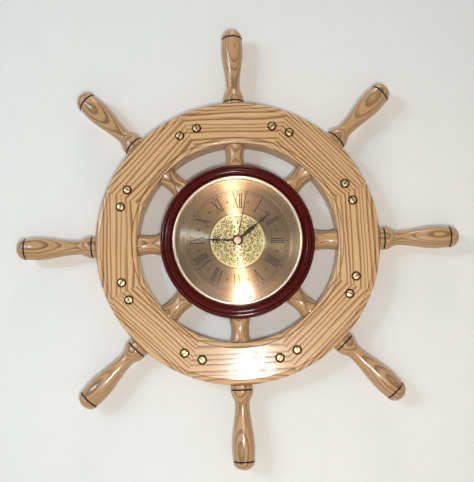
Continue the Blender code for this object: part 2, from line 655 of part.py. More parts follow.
def build_hanger(steel):
    """A sawtooth hanger: a nail's head catches in one of the notches along its lower edge."""
    low = HANGER_HEIGHT - HANGER_WIDTH / 2
    high = HANGER_HEIGHT + HANGER_WIDTH / 2
    count = round(HANGER_TOOTHED_LENGTH / HANGER_TOOTH_PITCH)
    start = -count * HANGER_TOOTH_PITCH / 2
    outline = [(-HANGER_LENGTH / 2, high), (-HANGER_LENGTH / 2, low)]
    for tooth in range(count):
        outline.append((start + tooth * HANGER_TOOTH_PITCH, low))
        outline.append((start + (tooth + 0.5) * HANGER_TOOTH_PITCH, low + HANGER_TOOTH_DEPTH))
    outline += [(-start, low), (HANGER_LENGTH / 2, low), (HANGER_LENGTH / 2, high)]
    plate = prism("hanger_plate", outline, HANGER_RECESS, HANGER_RECESS + HANGER_THICKNESS)
    add_object("hanger_plate", plate, steel)


def build_insert(brass, dial_metal, glass, tinplate, rubber):
    cup_inner = CUP_RADIUS - CUP_WALL
    flange_front = FLANGE_BACK_FORWARD + FLANGE_THICKNESS
    cup = [(cup_inner, CUP_BACK_FORWARD), (CUP_RADIUS, CUP_BACK_FORWARD),
           (CUP_RADIUS, FLANGE_BACK_FORWARD), (FLANGE_RADIUS, FLANGE_BACK_FORWARD),
           (FLANGE_RADIUS, flange_front), (cup_inner, flange_front)]
    add_object("insert_cup", turned("insert_cup", cup, CASE_SIDES, ring=True), tinplate)

    gasket = tube(HUB_BORE_RADIUS - CLEARANCE, CUP_RADIUS + CLEARANCE, GASKET_BACK_FORWARD,
                  GASKET_BACK_FORWARD + GASKET_LENGTH, CASE_SIDES)
    add_object("gasket", gasket, rubber)

    margin = DIAL_FORWARD + DIAL_MARGIN_STEP
    margin_radius = DIAL_RADIUS - DIAL_MARGIN_WIDTH
    hole = BUSHING_RADIUS + CLEARANCE
    medallion = DIAL_FORWARD - MEDALLION_STEP
    dial = [(hole, DIAL_BACK_FORWARD), (DIAL_RADIUS, DIAL_BACK_FORWARD), (DIAL_RADIUS, margin),
            (margin_radius, margin), (margin_radius - DIAL_MARGIN_STEP, DIAL_FORWARD),
            (MEDALLION_RADIUS + MEDALLION_STEP, DIAL_FORWARD), (MEDALLION_RADIUS, medallion),
            (hole, medallion)]
    add_object("dial", turned("dial", dial, CASE_SIDES, ring=True), dial_metal)

    lens_back = LENS_SEAT_FORWARD + CLEARANCE
    lip_back = lens_back + LENS_THICKNESS + CLEARANCE
    lip_front = lip_back + BEZEL_LIP_THICKNESS
    crown = ((BEZEL_RADIUS + BEZEL_LIP_RADIUS) / 2, lip_front)
    crown_radii = ((BEZEL_RADIUS - BEZEL_LIP_RADIUS) / 2, BEZEL_CREST)
    bezel = [(BEZEL_BORE_RADIUS, FLANGE_BACK_FORWARD), (BEZEL_RADIUS, FLANGE_BACK_FORWARD)]
    bezel += arc(crown, crown_radii, 0, 180, 3)
    bezel += [(BEZEL_LIP_RADIUS, lip_back), (LENS_RADIUS + CLEARANCE, lip_back),
              (LENS_RADIUS + CLEARANCE, LENS_SEAT_FORWARD), (BEZEL_BORE_RADIUS, LENS_SEAT_FORWARD)]
    add_object("bezel", turned("bezel", bezel, CASE_SIDES, ring=True), brass)

    lens = [(0, lens_back + LENS_RISE)]
    lens += [(LENS_RADIUS * share, lens_back + LENS_RISE * (1 - share ** 2)) for share in LENS_RING_SHARES]
    lens += [(LENS_RADIUS, lens_back), (LENS_RADIUS, lens_back + LENS_THICKNESS)]
    lens += [(LENS_RADIUS * share, lens_back + LENS_THICKNESS + LENS_RISE * (1 - share ** 2))
             for share in reversed(LENS_RING_SHARES)]
    lens += [(0, lens_back + LENS_THICKNESS + LENS_RISE)]
    add_object("lens", turned("lens", lens, CASE_SIDES), glass)

    nut = tube(NUT_RADIUS, BUSHING_RADIUS + CLEARANCE, NUT_BACK_FORWARD, NUT_BACK_FORWARD + NUT_THICKNESS)
    add_object("fixing_nut", nut, brass)


def gear(name, teeth, module, back, pinion=False, phase=0.0, bore=None, thickness=WHEEL_THICKNESS):
    """A spur gear. A wheel has pointed teeth, a pinion blunt ones; phase turns it by shares of a pitch."""
    tip_radius = module * (teeth / 2 + ADDENDUM_SHARE)
    root_radius = module * (teeth / 2 - DEDENDUM_SHARE)
    pitch = 2 * math.pi / teeth
    root_half = PINION_ROOT_SHARE * pitch / 2
    tip_half = PINION_TIP_SHARE * pitch / 2
    outline = []
    for tooth in range(teeth):
        middle = (tooth + phase) * pitch
        corners = [(middle, tip_radius), (middle + pitch / 2, root_radius)]
        if pinion:
            corners = [(middle - root_half, root_radius), (middle - tip_half, tip_radius),
                       (middle + tip_half, tip_radius), (middle + root_half, root_radius)]
        outline += [tuple(direction(angle) * radius) for angle, radius in corners]
    holes = [circle(bore, SHAFT_SIDES)] if bore else []
    return prism(name, outline, back, back + thickness, holes)


def mesh_phase(teeth, angle, driven=False):
    """The phase that points a tooth, or on a driven gear a gap, along an angle on the dial."""
    turns = angle / (2 * math.pi) * teeth
    return (turns + (0.5 if driven else 0.0)) % 1.0


def arbor(radius=ARBOR_RADIUS, back=None, front=None):
    back = COVER_INNER_FORWARD + PIVOT_INSET if back is None else back
    front = CASE_INNER_FRONT - PIVOT_INSET if front is None else front
    return rod(radius, back, front)


def build_train(steel, brass, moulded):
    toward_seconds = REDUCTION_ANGLE + math.pi
    toward_reduction = ROTOR_ANGLE + math.pi

    rotor = joined(
        arbor(),
        gear("pinion", ROTOR_PINION_TEETH, ROTOR_MODULE, plane(0), True,
             mesh_phase(ROTOR_PINION_TEETH, toward_reduction, driven=True)),
        rod(MAGNET_RADIUS, MAGNET_FORWARD, MAGNET_FORWARD + MAGNET_LENGTH))
    add_object("rotor", at(rotor, ROTOR_PLACE), steel)

    reduction = joined(
        arbor(),
        gear("wheel", REDUCTION_WHEEL_TEETH, ROTOR_MODULE, plane(0),
             phase=mesh_phase(REDUCTION_WHEEL_TEETH, ROTOR_ANGLE)),
        gear("pinion", REDUCTION_PINION_TEETH, REDUCTION_MODULE, plane(1), True,
             mesh_phase(REDUCTION_PINION_TEETH, toward_seconds, driven=True)))
    add_object("reduction_wheel", at(reduction, REDUCTION_PLACE), moulded)

    seconds = joined(
        arbor(front=SECOND_HAND_FORWARD - CLEARANCE),
        gear("wheel", SECONDS_WHEEL_TEETH, REDUCTION_MODULE, plane(1),
             phase=mesh_phase(SECONDS_WHEEL_TEETH, REDUCTION_ANGLE)),
        gear("pinion", SECONDS_PINION_TEETH, THIRD_MODULE, plane(2), True,
             mesh_phase(SECONDS_PINION_TEETH, THIRD_ANGLE, driven=True)))
    add_object("seconds_wheel", seconds, moulded)

    third = joined(
        arbor(),
        gear("wheel", THIRD_WHEEL_TEETH, THIRD_MODULE, plane(2),
             phase=mesh_phase(THIRD_WHEEL_TEETH, THIRD_ANGLE + math.pi)),
        gear("pinion", THIRD_PINION_TEETH, CENTRE_MODULE, plane(3), True,
             mesh_phase(THIRD_PINION_TEETH, THIRD_ANGLE + math.pi, driven=True)))
    add_object("third_wheel", at(third, THIRD_PLACE), moulded)

    centre = gear("centre_wheel", CENTRE_WHEEL_TEETH, CENTRE_MODULE, plane(3),
                  phase=mesh_phase(CENTRE_WHEEL_TEETH, THIRD_ANGLE), bore=ARBOR_RADIUS + CLEARANCE)
    add_object("centre_wheel", centre, brass)

    pipe_back = plane(3) + WHEEL_THICKNESS + CLEARANCE
    cannon = gear("cannon", CANNON_PINION_TEETH, MOTION_MODULE, plane(4), True,
                  mesh_phase(CANNON_PINION_TEETH, MOTION_ANGLE, driven=True), ARBOR_RADIUS + CLEARANCE)
    pipe = joined(cannon, tube(MINUTE_PIPE_RADIUS, ARBOR_RADIUS + CLEARANCE, pipe_back,
                               MINUTE_HAND_FORWARD + HAND_THICKNESS))
    add_object("minute_pipe", pipe, brass)

    stud_bore = ARBOR_RADIUS + CLEARANCE
    motion = joined(
        gear("wheel", MOTION_WHEEL_TEETH, MOTION_MODULE, plane(4), bore=stud_bore,
             phase=mesh_phase(MOTION_WHEEL_TEETH, MOTION_ANGLE + math.pi)),
        gear("pinion", MOTION_PINION_TEETH, MOTION_MODULE, plane(4) + WHEEL_THICKNESS / 2, True,
             mesh_phase(MOTION_PINION_TEETH, MOTION_ANGLE + math.pi, driven=True), stud_bore,
             plane(5) + WHEEL_THICKNESS - plane(4) - WHEEL_THICKNESS / 2))
    add_object("motion_wheel", at(motion, MOTION_PLACE), moulded)

    hour_bore = MINUTE_PIPE_RADIUS + CLEARANCE
    hour = joined(
        gear("wheel", HOUR_WHEEL_TEETH, MOTION_MODULE, plane(5), bore=hour_bore,
             phase=mesh_phase(HOUR_WHEEL_TEETH, MOTION_ANGLE)),
        tube(HOUR_PIPE_RADIUS, hour_bore, plane(5), HOUR_HAND_FORWARD + HAND_THICKNESS))
    add_object("hour_wheel", hour, moulded)

    knob_back = COVER_BACK_FORWARD - CLEARANCE - KNOB_THICKNESS
    knob = joined(
        arbor(KNOB_ARBOR_RADIUS, back=knob_back + KNOB_THICKNESS / 2),
        gear("pinion", KNOB_PINION_TEETH, MOTION_MODULE, plane(4), True,
             mesh_phase(KNOB_PINION_TEETH, MOTION_ANGLE + math.pi, driven=True)),
        rod(KNOB_RADIUS, knob_back, knob_back + KNOB_THICKNESS))
    add_object("set_knob", at(knob, KNOB_PLACE), moulded)


def hand_blank(boss_radius, back):
    return rod(boss_radius, back, back + HAND_THICKNESS)


def pointing(mesh, angle):
    return moved(mesh, Matrix.Rotation(angle, 4, "Y"))


def pierced_hand(stations, ornament_reach, ornament_radius, length, boss_radius, bore, back):
    """A flat leaf hand with a pierced lozenge near its tip, stamped with its boss round a bore.

    The stations are the blade's half widths, (reach, half width), from the pipe to the lozenge.
    """
    side = [*stations, (ornament_reach - ornament_radius, NECK_HALF_WIDTH), (ornament_reach, ornament_radius),
            (ornament_reach + ornament_radius, NECK_HALF_WIDTH)]
    outline = [(-width, reach) for reach, width in side] + [(0, length)]
    outline += [(width, reach) for reach, width in reversed(side)]
    piercing = circle(ornament_radius * PIERCING_SHARE, 6, Vector((0, ornament_reach)))
    blade = prism("blade", outline, back, back + HAND_THICKNESS, [piercing])
    hand = joined(blade, hand_blank(boss_radius, back))
    return cut(hand, rod(bore, back - OVERRUN, back + OVERRUN))


def build_hands(black, copper):
    """Hands in the pierced serpentine style, each a flat stamping on its pipe."""
    hour = pierced_hand([(0, NECK_HALF_WIDTH), (HOUR_HAND_LENGTH * HOUR_BELLY_SHARE, HOUR_HAND_HALF_WIDTH)],
                        HOUR_HAND_LENGTH - HOUR_ORNAMENT_SETBACK, HOUR_ORNAMENT_RADIUS, HOUR_HAND_LENGTH,
                        HOUR_BOSS_RADIUS, HOUR_PIPE_RADIUS + CLEARANCE, HOUR_HAND_FORWARD)
    add_object("hour_hand", pointing(hour, HOUR_HAND_ANGLE), black)

    minute = pierced_hand([(0, NECK_HALF_WIDTH),
                           (MINUTE_HAND_LENGTH * MINUTE_BELLY_SHARE, MINUTE_HAND_HALF_WIDTH),
                           (MINUTE_HAND_LENGTH - MINUTE_NECK_SETBACK, NECK_HALF_WIDTH)],
                          MINUTE_HAND_LENGTH - MINUTE_ORNAMENT_SETBACK, MINUTE_ORNAMENT_RADIUS,
                          MINUTE_HAND_LENGTH, MINUTE_BOSS_RADIUS, MINUTE_PIPE_RADIUS + CLEARANCE,
                          MINUTE_HAND_FORWARD)
    add_object("minute_hand", pointing(minute, MINUTE_HAND_ANGLE), black)

    back = SECOND_HAND_FORWARD
    side = [(-SECOND_TAIL_LENGTH, SECOND_TAIL_HALF_WIDTH), (0, SECOND_TAIL_HALF_WIDTH),
            (SECOND_BOSS_RADIUS, SECOND_HALF_WIDTH), (SECOND_HAND_LENGTH, SECOND_HALF_WIDTH)]
    outline = [(-width, reach) for reach, width in side] + [(width, reach) for reach, width in reversed(side)]
    blade = prism("blade", outline, back, back + HAND_THICKNESS)
    second = joined(blade, hand_blank(SECOND_BOSS_RADIUS, back))
    add_object("second_hand", pointing(second, SECOND_HAND_ANGLE), copper)


def bearings(places, wall_forward, toward):
    """Steps that add short bosses to a case wall, each with a blind hole for an arbor's pivot."""
    steps = []
    root = wall_forward - toward * CASE_WALL / 2
    floor = wall_forward + toward * BEARING_FLOOR
    top = wall_forward + toward * BEARING_BOSS_HEIGHT
    for place, radius in places:
        hole = radius + CLEARANCE
        profile = [(0, root), (BEARING_BOSS_RADIUS, root), (BEARING_BOSS_RADIUS, top), (hole, top),
                   (hole, floor), (0, floor)]
        steps.append(("UNION", at(turned("bearing", profile, SHAFT_SIDES), place)))
    return steps


def build_case(moulded):
    half = CASE_HALF_WIDTH
    inner = half - CASE_WALL
    front_wall = CASE_INNER_FRONT
    shell = box(-half, half, CASE_BACK_FORWARD, CASE_FRONT_FORWARD, -half, half)
    gear_room = box(-inner, inner, CASE_BACK_FORWARD - OVERRUN, front_wall, BAY_DIVIDER_TOP, inner)
    bay = box(-inner, inner, CASE_BACK_FORWARD - OVERRUN, front_wall, -inner,
              BAY_DIVIDER_TOP - BAY_DIVIDER_THICKNESS)
    steps = [("DIFFERENCE", gear_room), ("DIFFERENCE", bay)]
    steps.append(("UNION", rod(BUSHING_RADIUS, CASE_FRONT_FORWARD - CASE_WALL / 2, NUT_FRONT_FORWARD)))
    steps.append(("DIFFERENCE", rod(BUSHING_BORE_RADIUS, front_wall - OVERRUN, NUT_FRONT_FORWARD + OVERRUN)))
    steps += bearings([(ROTOR_PLACE, ARBOR_RADIUS), (REDUCTION_PLACE, ARBOR_RADIUS),
                       (THIRD_PLACE, ARBOR_RADIUS), (KNOB_PLACE, KNOB_ARBOR_RADIUS)], front_wall, -1)
    stud = rod(ARBOR_RADIUS, plane(4) - CLEARANCE, front_wall + CASE_WALL / 2)
    steps.append(("UNION", at(stud, MOTION_PLACE)))
    post_back = STATOR_FORWARD + STATOR_THICKNESS + CLEARANCE
    for side in (-1, 1):
        post = rod(POST_RADIUS, post_back, front_wall + CASE_WALL / 2)
        steps.append(("UNION", at(post, Vector((side * STATOR_LEG_X, ROTOR_PLACE.y)))))
    add_object("movement_front_case", combined(shell, steps), moulded)

    cover = box(-half, half, COVER_BACK_FORWARD, COVER_INNER_FORWARD,
                BAY_DIVIDER_TOP - BAY_DIVIDER_THICKNESS, half)
    steps = bearings([(place, ARBOR_RADIUS) for place in (ROTOR_PLACE, REDUCTION_PLACE, THIRD_PLACE,
                                                          CENTRE_PLACE)], COVER_INNER_FORWARD, 1)
    knob_hole = rod(KNOB_ARBOR_RADIUS + CLEARANCE, COVER_BACK_FORWARD - OVERRUN,
                    COVER_INNER_FORWARD + OVERRUN)
    steps.append(("DIFFERENCE", at(knob_hole, KNOB_PLACE)))
    add_object("movement_rear_cover", combined(cover, steps), moulded)


def build_motor(steel, copper):
    """The stepping motor: a U-shaped stator round the rotor's magnet, and a coil between its legs."""
    half = STATOR_HALF_WIDTH
    leg = half - STATOR_LEG_WIDTH
    low = ROTOR_PLACE.y - STATOR_BAR_HALF_HEIGHT
    bar_top = ROTOR_PLACE.y + STATOR_BAR_HALF_HEIGHT
    top = low + STATOR_HEIGHT + COIL_FLANGE_RADIUS / 2
    outline = [(-half, low), (half, low), (half, top), (leg, top), (leg, bar_top), (-leg, bar_top),
               (-leg, top), (-half, top)]
    bore = circle(STATOR_BORE_RADIUS, SHAFT_SIDES, ROTOR_PLACE)
    stator = prism("stator", outline, STATOR_FORWARD, STATOR_FORWARD + STATOR_THICKNESS, [bore])
    add_object("stator", stator, steel)

    length = COIL_HALF_LENGTH
    flange = COIL_FLANGE_THICKNESS
    spool = turned("coil", [(0, -length), (COIL_FLANGE_RADIUS, -length), (COIL_FLANGE_RADIUS, flange - length),
                            (COIL_RADIUS, flange - length), (COIL_RADIUS, length - flange),
                            (COIL_FLANGE_RADIUS, length - flange), (COIL_FLANGE_RADIUS, length), (0, length)],
                   SHAFT_SIDES)
    middle = point(0, STATOR_FORWARD + STATOR_THICKNESS / 2, COIL_HEIGHT)
    spool = moved(laid_along_x(spool), Matrix.Translation(middle))
    board_front = CASE_INNER_FRONT - CLEARANCE
    board = box(-length, length, board_front - BOARD_THICKNESS, board_front,
                COIL_HEIGHT - BOARD_HEIGHT / 2, COIL_HEIGHT + BOARD_HEIGHT / 2)
    legs = [box(side * length - flange / 2, side * length + flange / 2, -middle.y,
                board_front - BOARD_THICKNESS / 2, COIL_HEIGHT - COIL_RADIUS / 2,
                COIL_HEIGHT + COIL_RADIUS / 2) for side in (-0.9, 0.9)]
    add_object("coil_and_board", joined(spool, *legs, board), copper)


def build_battery(jacket, steel):
    middle = point(0, BATTERY_FORWARD, BATTERY_AXIS_HEIGHT)
    half = BATTERY_LENGTH / 2
    nub_seat = half - BATTERY_NUB_LENGTH
    radius = BATTERY_RADIUS
    profile = [(0, -half), (radius - BATTERY_SHOULDER, -half), (radius, BATTERY_SHOULDER - half),
               (radius, nub_seat - BATTERY_SHOULDER), (radius - BATTERY_SHOULDER, nub_seat),
               (BATTERY_NUB_RADIUS, nub_seat), (BATTERY_NUB_RADIUS, half), (0, half)]
    cell = laid_along_x(turned("battery", profile, 2 * SHAFT_SIDES))
    add_object("battery", moved(cell, Matrix.Translation(middle)), jacket)

    wall = CASE_HALF_WIDTH - CASE_WALL - CLEARANCE
    for name, side in (("battery_contact_plus", 1), ("battery_contact_minus", -1)):
        low, high = sorted((side * wall, side * (wall - CONTACT_THICKNESS)))
        plate = box(low, high, BATTERY_FORWARD - CONTACT_DEPTH / 2, BATTERY_FORWARD + CONTACT_DEPTH / 2,
                    BATTERY_AXIS_HEIGHT - CONTACT_HEIGHT / 2, BATTERY_AXIS_HEIGHT + CONTACT_HEIGHT / 2)
        tip = half + CLEARANCE
        bulge = turned("bulge", [(0, wall - CONTACT_THICKNESS / 2),
                                 (CONTACT_BULGE_RADIUS, wall - CONTACT_THICKNESS / 2),
                                 (CONTACT_BULGE_RADIUS / 2, tip), (0, tip)], SHAFT_SIDES)
        bulge = moved(laid_along_x(bulge), Matrix.Rotation(0 if side > 0 else math.pi, 4, "Z"))
        bulge = moved(bulge, Matrix.Translation(middle))
        add_object(name, joined(plate, bulge), steel)


def main():
    clear_scene()
    oak = material("varnished_ash", (0.62, 0.42, 0.20), 0.35)
    turned_oak = material("varnished_turned_ash", (0.50, 0.31, 0.14), 0.25)
    mahogany = material("mahogany_lacquer", (0.07, 0.010, 0.008), 0.18)
    brass = material("polished_brass", (0.80, 0.62, 0.28), 0.22, 1.0)
    dial_metal = material("spun_brass_dial", (0.52, 0.36, 0.18), 0.32, 1.0)
    black = material("black_lacquer", (0.012, 0.012, 0.012), 0.35)
    copper = material("copper_red", (0.35, 0.10, 0.03), 0.35, 0.6)
    steel = material("plated_steel", (0.55, 0.55, 0.55), 0.35, 1.0)
    glass = material("clear_glass", (1.0, 1.0, 1.0), 0.02, 0.0, 0.15)
    rubber = material("grey_rubber", (0.05, 0.05, 0.05), 0.8)
    moulded = material("black_abs", (0.02, 0.02, 0.02), 0.5)
    acetal = material("white_acetal", (0.75, 0.74, 0.70), 0.45)
    jacket = material("battery_jacket", (0.10, 0.10, 0.11), 0.4)

    build_rim(oak, oak)
    build_rim_screws(brass)
    build_spindles(turned_oak)
    build_hub(mahogany)
    build_hanger(steel)
    build_insert(brass, dial_metal, glass, steel, rubber)
    build_case(moulded)
    build_train(steel, brass, acetal)
    build_motor(steel, copper)
    build_battery(jacket, steel)
    build_hands(black, copper)


main()
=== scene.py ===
# %% [markdown]
# # A ship wheel clock
# A wall clock in the form of a ship's wheel: an ash rim of eight mitred segments, eight turned spindles, a
# mahogany hub and a brass insert clock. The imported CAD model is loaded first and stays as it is. Every new
# piece is worked out around it, in the same frame: metres, X to the right, Z up, the front towards -Y.

# %% Load the frame
import math

import bmesh
import bpy
import numpy as np
from mathutils import Matrix, Vector


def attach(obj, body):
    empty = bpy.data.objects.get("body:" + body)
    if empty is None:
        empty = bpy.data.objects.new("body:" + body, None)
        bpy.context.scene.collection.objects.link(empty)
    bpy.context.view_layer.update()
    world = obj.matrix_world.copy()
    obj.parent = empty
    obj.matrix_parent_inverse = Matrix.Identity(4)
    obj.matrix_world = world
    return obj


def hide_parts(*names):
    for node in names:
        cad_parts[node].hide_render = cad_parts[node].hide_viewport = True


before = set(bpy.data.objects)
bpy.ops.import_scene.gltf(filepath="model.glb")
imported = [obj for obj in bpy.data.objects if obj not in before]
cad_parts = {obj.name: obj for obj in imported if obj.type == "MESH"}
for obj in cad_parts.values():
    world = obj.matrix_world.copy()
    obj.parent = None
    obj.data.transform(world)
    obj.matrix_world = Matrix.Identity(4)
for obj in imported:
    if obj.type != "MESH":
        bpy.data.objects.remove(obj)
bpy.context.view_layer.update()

# %% [markdown]
# ## The camera
# The photograph was taken from 0.66 m, a little below the middle, looking up by 4.7 degrees, so the inside of
# the rim shows at the top and not at the bottom. The picture is a crop of a larger one, which a small shift
# of the lens gives back. A camera could be aimed with a constraint, but three unit vectors say exactly where
# it looks: forward, right and up, with the roll of the crooked shot mixed into the last two.

# %% Place the camera
CAMERA_PLACE = Vector((0.001, -0.66, -0.0966))
CAMERA_YAW = math.radians(-0.27)
CAMERA_PITCH = math.radians(4.67)
CAMERA_ROLL = math.radians(-1.68)
SENSOR = 36.0
FOCAL_LENGTH = 46.99
SHIFT_UP = 0.0934


def placed(name, data):
    """A new object with its data, put in the scene."""
    made = bpy.data.objects.new(name, data)
    bpy.context.scene.collection.objects.link(made)
    return made


looking = Vector((math.sin(CAMERA_YAW) * math.cos(CAMERA_PITCH),
                  math.cos(CAMERA_YAW) * math.cos(CAMERA_PITCH), math.sin(CAMERA_PITCH)))
level = Vector((math.cos(CAMERA_YAW), -math.sin(CAMERA_YAW), 0))
upward = level.cross(looking)
right = level * math.cos(CAMERA_ROLL) + upward * math.sin(CAMERA_ROLL)
up = upward * math.cos(CAMERA_ROLL) - level * math.sin(CAMERA_ROLL)
lens_data = bpy.data.cameras.new("camera")
lens_data.lens = FOCAL_LENGTH
lens_data.sensor_width = SENSOR
lens_data.shift_y = SHIFT_UP
camera = placed("camera", lens_data)
camera.matrix_world = Matrix.Translation(CAMERA_PLACE) @ Matrix((right, up, -looking)).transposed().to_4x4()
bpy.context.scene.camera = camera
print("camera at", tuple(CAMERA_PLACE), "looking", tuple(round(c, 3) for c in looking))

# %% [markdown]
# ## Points, grids and meshes
# Most of this clock was made on a lathe or with a shaped cutter, so most pieces are a profile carried round
# an axis. Spin or Screw modifiers could do that. A grid of points from numpy is as short, gives exact sizes
# and leaves nothing live on the piece: rows are steps round the axis, columns are points of the profile.

# %% Helpers for shapes
MM = 0.001
FULL_TURN = 2 * math.pi
SHARP = 35  # degrees between two faces: a sharper edge keeps its crease
ROUND_START = 0.37  # of a step: no edge of a turned piece then falls exactly on an edge of a cutter


def around(radius, clockwise, forward):
    """A point at a clockwise angle from the top: x = r sin a, y = -forward, z = r cos a. Millimetres in."""
    radius, clockwise, forward = np.broadcast_arrays(radius, clockwise, forward)
    return np.stack([radius * np.sin(clockwise), -forward, radius * np.cos(clockwise)], axis=-1) * MM


def grid_faces(rows, columns, close_rows=False, close_columns=False):
    """Quads between neighbouring rows and columns of a grid; closing joins the last to the first."""
    row, column = np.meshgrid(np.arange(rows - 1 + close_rows), np.arange(columns - 1 + close_columns),
                              indexing="ij")
    next_row, next_column = (row + 1) % rows, (column + 1) % columns
    corners = [row * columns + column, row * columns + next_column,
               next_row * columns + next_column, next_row * columns + column]
    return np.stack(corners, axis=-1).reshape(-1, 4)


def mesh_piece(name, points, faces, caps=(), sharp=SHARP):
    """A closed mesh: doubles merged, normals outward, smooth but for edges sharper than an angle."""
    mesh = bpy.data.meshes.new(name)
    mesh.from_pydata(np.reshape(points, (-1, 3)).tolist(), [], faces.tolist() + [list(cap) for cap in caps])
    return link_piece(name, mesh, sharp)


def link_piece(name, mesh, sharp=SHARP):
    """Merges a mesh's doubles, turns its faces outward, shades it and puts it in the scene."""
    model = bmesh.new()
    model.from_mesh(mesh)
    bmesh.ops.remove_doubles(model, verts=model.verts, dist=1e-7)
    bmesh.ops.recalc_face_normals(model, faces=model.faces)
    if model.calc_volume(signed=True) < 0:
        bmesh.ops.reverse_faces(model, faces=model.faces)
    model.to_mesh(mesh)
    model.free()
    mesh.polygons.foreach_set("use_smooth", np.ones(len(mesh.polygons), bool))
    mesh.set_sharp_from_angle(angle=math.radians(sharp))
    return placed(name, mesh)


def arc(centre, radii, first, last, count):
    """Points on an ellipse's arc between two angles, in degrees from the first axis."""
    angle = np.radians(np.linspace(first, last, count))
    return np.column_stack([centre[0] + radii[0] * np.cos(angle), centre[1] + radii[1] * np.sin(angle)])


def eased(start, end, count):
    """Half a cosine wave from start to end, which leaves and arrives level, as a turner's curve does."""
    share = np.linspace(0, 1, count)
    return np.column_stack([start[0] + (end[0] - start[0]) * share,
                            start[1] + (end[1] - start[1]) * (1 - np.cos(np.pi * share)) / 2])


def turned(name, profile, sides=192, open_ends=False, sharp=SHARP):
    """A profile of (radius, forward) carried once round the clock's axis. With open ends it starts and
    stops on the axis; without, it is a closed loop and makes a ring."""
    profile = np.asarray(profile, float)
    angle = (np.arange(sides)[:, None] + ROUND_START) * FULL_TURN / sides
    points = around(profile[None, :, 0], angle, profile[None, :, 1])
    return mesh_piece(name, points, grid_faces(sides, len(profile), True, not open_ends), sharp=sharp)


print("helpers ready")

# %% [markdown]
# ## Boards and cutters
# The rim's front is eight straight boards of ash, mitred and glued, then routed to a ring. Each is the same
# profile carried through an eighth of a turn, less half a joint's gap at each end. The spindle's bed and the
# screws' countersunk seats are real hollows, so they are cut out with Blender's exact Boolean, which is
# applied at once. The grid could be bent round the holes instead, but that is far more code for holes which
# are mostly filled.

# %% Boolean and grain helpers
def applied(piece):
    """The plain mesh that a piece's modifiers, or a curve's settings, come to."""
    bpy.context.view_layer.update()
    return bpy.data.meshes.new_from_object(piece.evaluated_get(bpy.context.evaluated_depsgraph_get()))


def cut_out(piece, cutters):
    """Takes closed cutters out of a piece with the exact Boolean, and keeps the result as its mesh."""
    for cutter in cutters:
        change = piece.modifiers.new("cut", "BOOLEAN")
        change.object, change.operation, change.solver = cutter, "DIFFERENCE", "EXACT"
    result = applied(piece)
    piece.modifiers.clear()
    result.set_sharp_from_angle(angle=math.radians(SHARP))
    piece.data = result
    for cutter in cutters:
        bpy.data.objects.remove(cutter)
    return piece


def corners_of(mesh):
    """All vertices of a mesh as an array."""
    points = np.zeros(len(mesh.vertices) * 3)
    mesh.vertices.foreach_get("co", points)
    return points.reshape(-1, 3)


def set_grain(piece, turn, pith, tilt=0.0, growth=1.0):
    """Writes where each point lies in the log: metres along the grain, across it and through the board.

    The board's own axes are the tangent, the radius and the depth at a clockwise turn. The pith is the
    log's middle in (across, depth), in mm, the tilt leans the grain against the board's edge, and a tree
    of faster growth has its rings that many times further apart."""
    along = np.array([math.cos(turn), 0, -math.sin(turn)])
    across = np.array([math.sin(turn), 0, math.cos(turn)])
    points = corners_of(piece.data)
    board = np.column_stack([points @ along, points @ across, -points[:, 1]])
    lean = np.array([[math.cos(tilt), math.sin(tilt), 0], [-math.sin(tilt), math.cos(tilt), 0], [0, 0, 1]])
    board = board @ lean.T + [turn, -pith[0] * MM, -pith[1] * MM]
    board[:, 1:] /= growth
    grain = piece.data.attributes.new("grain", "FLOAT_VECTOR", "POINT")
    grain.data.foreach_set("vector", board.ravel().astype(np.float32))
    return piece


def set_dark(piece, share):
    """Writes `dark`: how far a point's colour goes to a darker one: burnt lines on the spindles, painted
    shade and grime on the rim, tarnish and painted shade on the screws.
    """
    dark = piece.data.attributes.new("dark", "FLOAT", "POINT")
    dark.data.foreach_set("value", np.asarray(share, np.float32))
    return piece


def carried(name, profile, half_angle, count):
    """A closed profile of (radius, forward) carried from one mitre to the other, with flat ends."""
    profile = np.asarray(profile, float)
    angle = np.linspace(-half_angle, half_angle, count)[:, None]
    points = around(profile[None, :, 0], angle, profile[None, :, 1])
    size = len(profile)
    caps = [range(size), range(size * (count - 1), size * count)]
    return mesh_piece(name, points, grid_faces(count, size, False, True), caps)


def turn_mesh(mesh, turn):
    """Turns a mesh clockwise, seen from the front, about the clock's axis."""
    mesh.transform(Matrix.Rotation(turn, 4, "Y"))
    return mesh


print("cutters ready")

# %% [markdown]
# ## The front segments
# Flat face, a fine step, and a quarter round down to each edge: the mark of one router bit run round both
# sides. The step is what draws the thin line just inside the rim's edges, with painted shade and grime in it.

# %% Sizes of the rim
SPOKES = 8
EIGHTH = FULL_TURN / SPOKES
RIM_INNER, RIM_OUTER = 102.0, 144.0
RIM_FACE, RIM_JOINT, RIM_BACK = 31.7, 19.0, 6.3
JOINT_GAP, GLUE_LINE = 0.3, 0.06
EDGE_ROUND, EDGE_FALL, EDGE_STEP, STEP_SLOPE = 5.0, 2.2, 0.9, 0.3
SCREW_CIRCLE, SCREW_OFFSET = 124.0, 9.4
screw_turn = math.asin(SCREW_OFFSET / SCREW_CIRCLE)


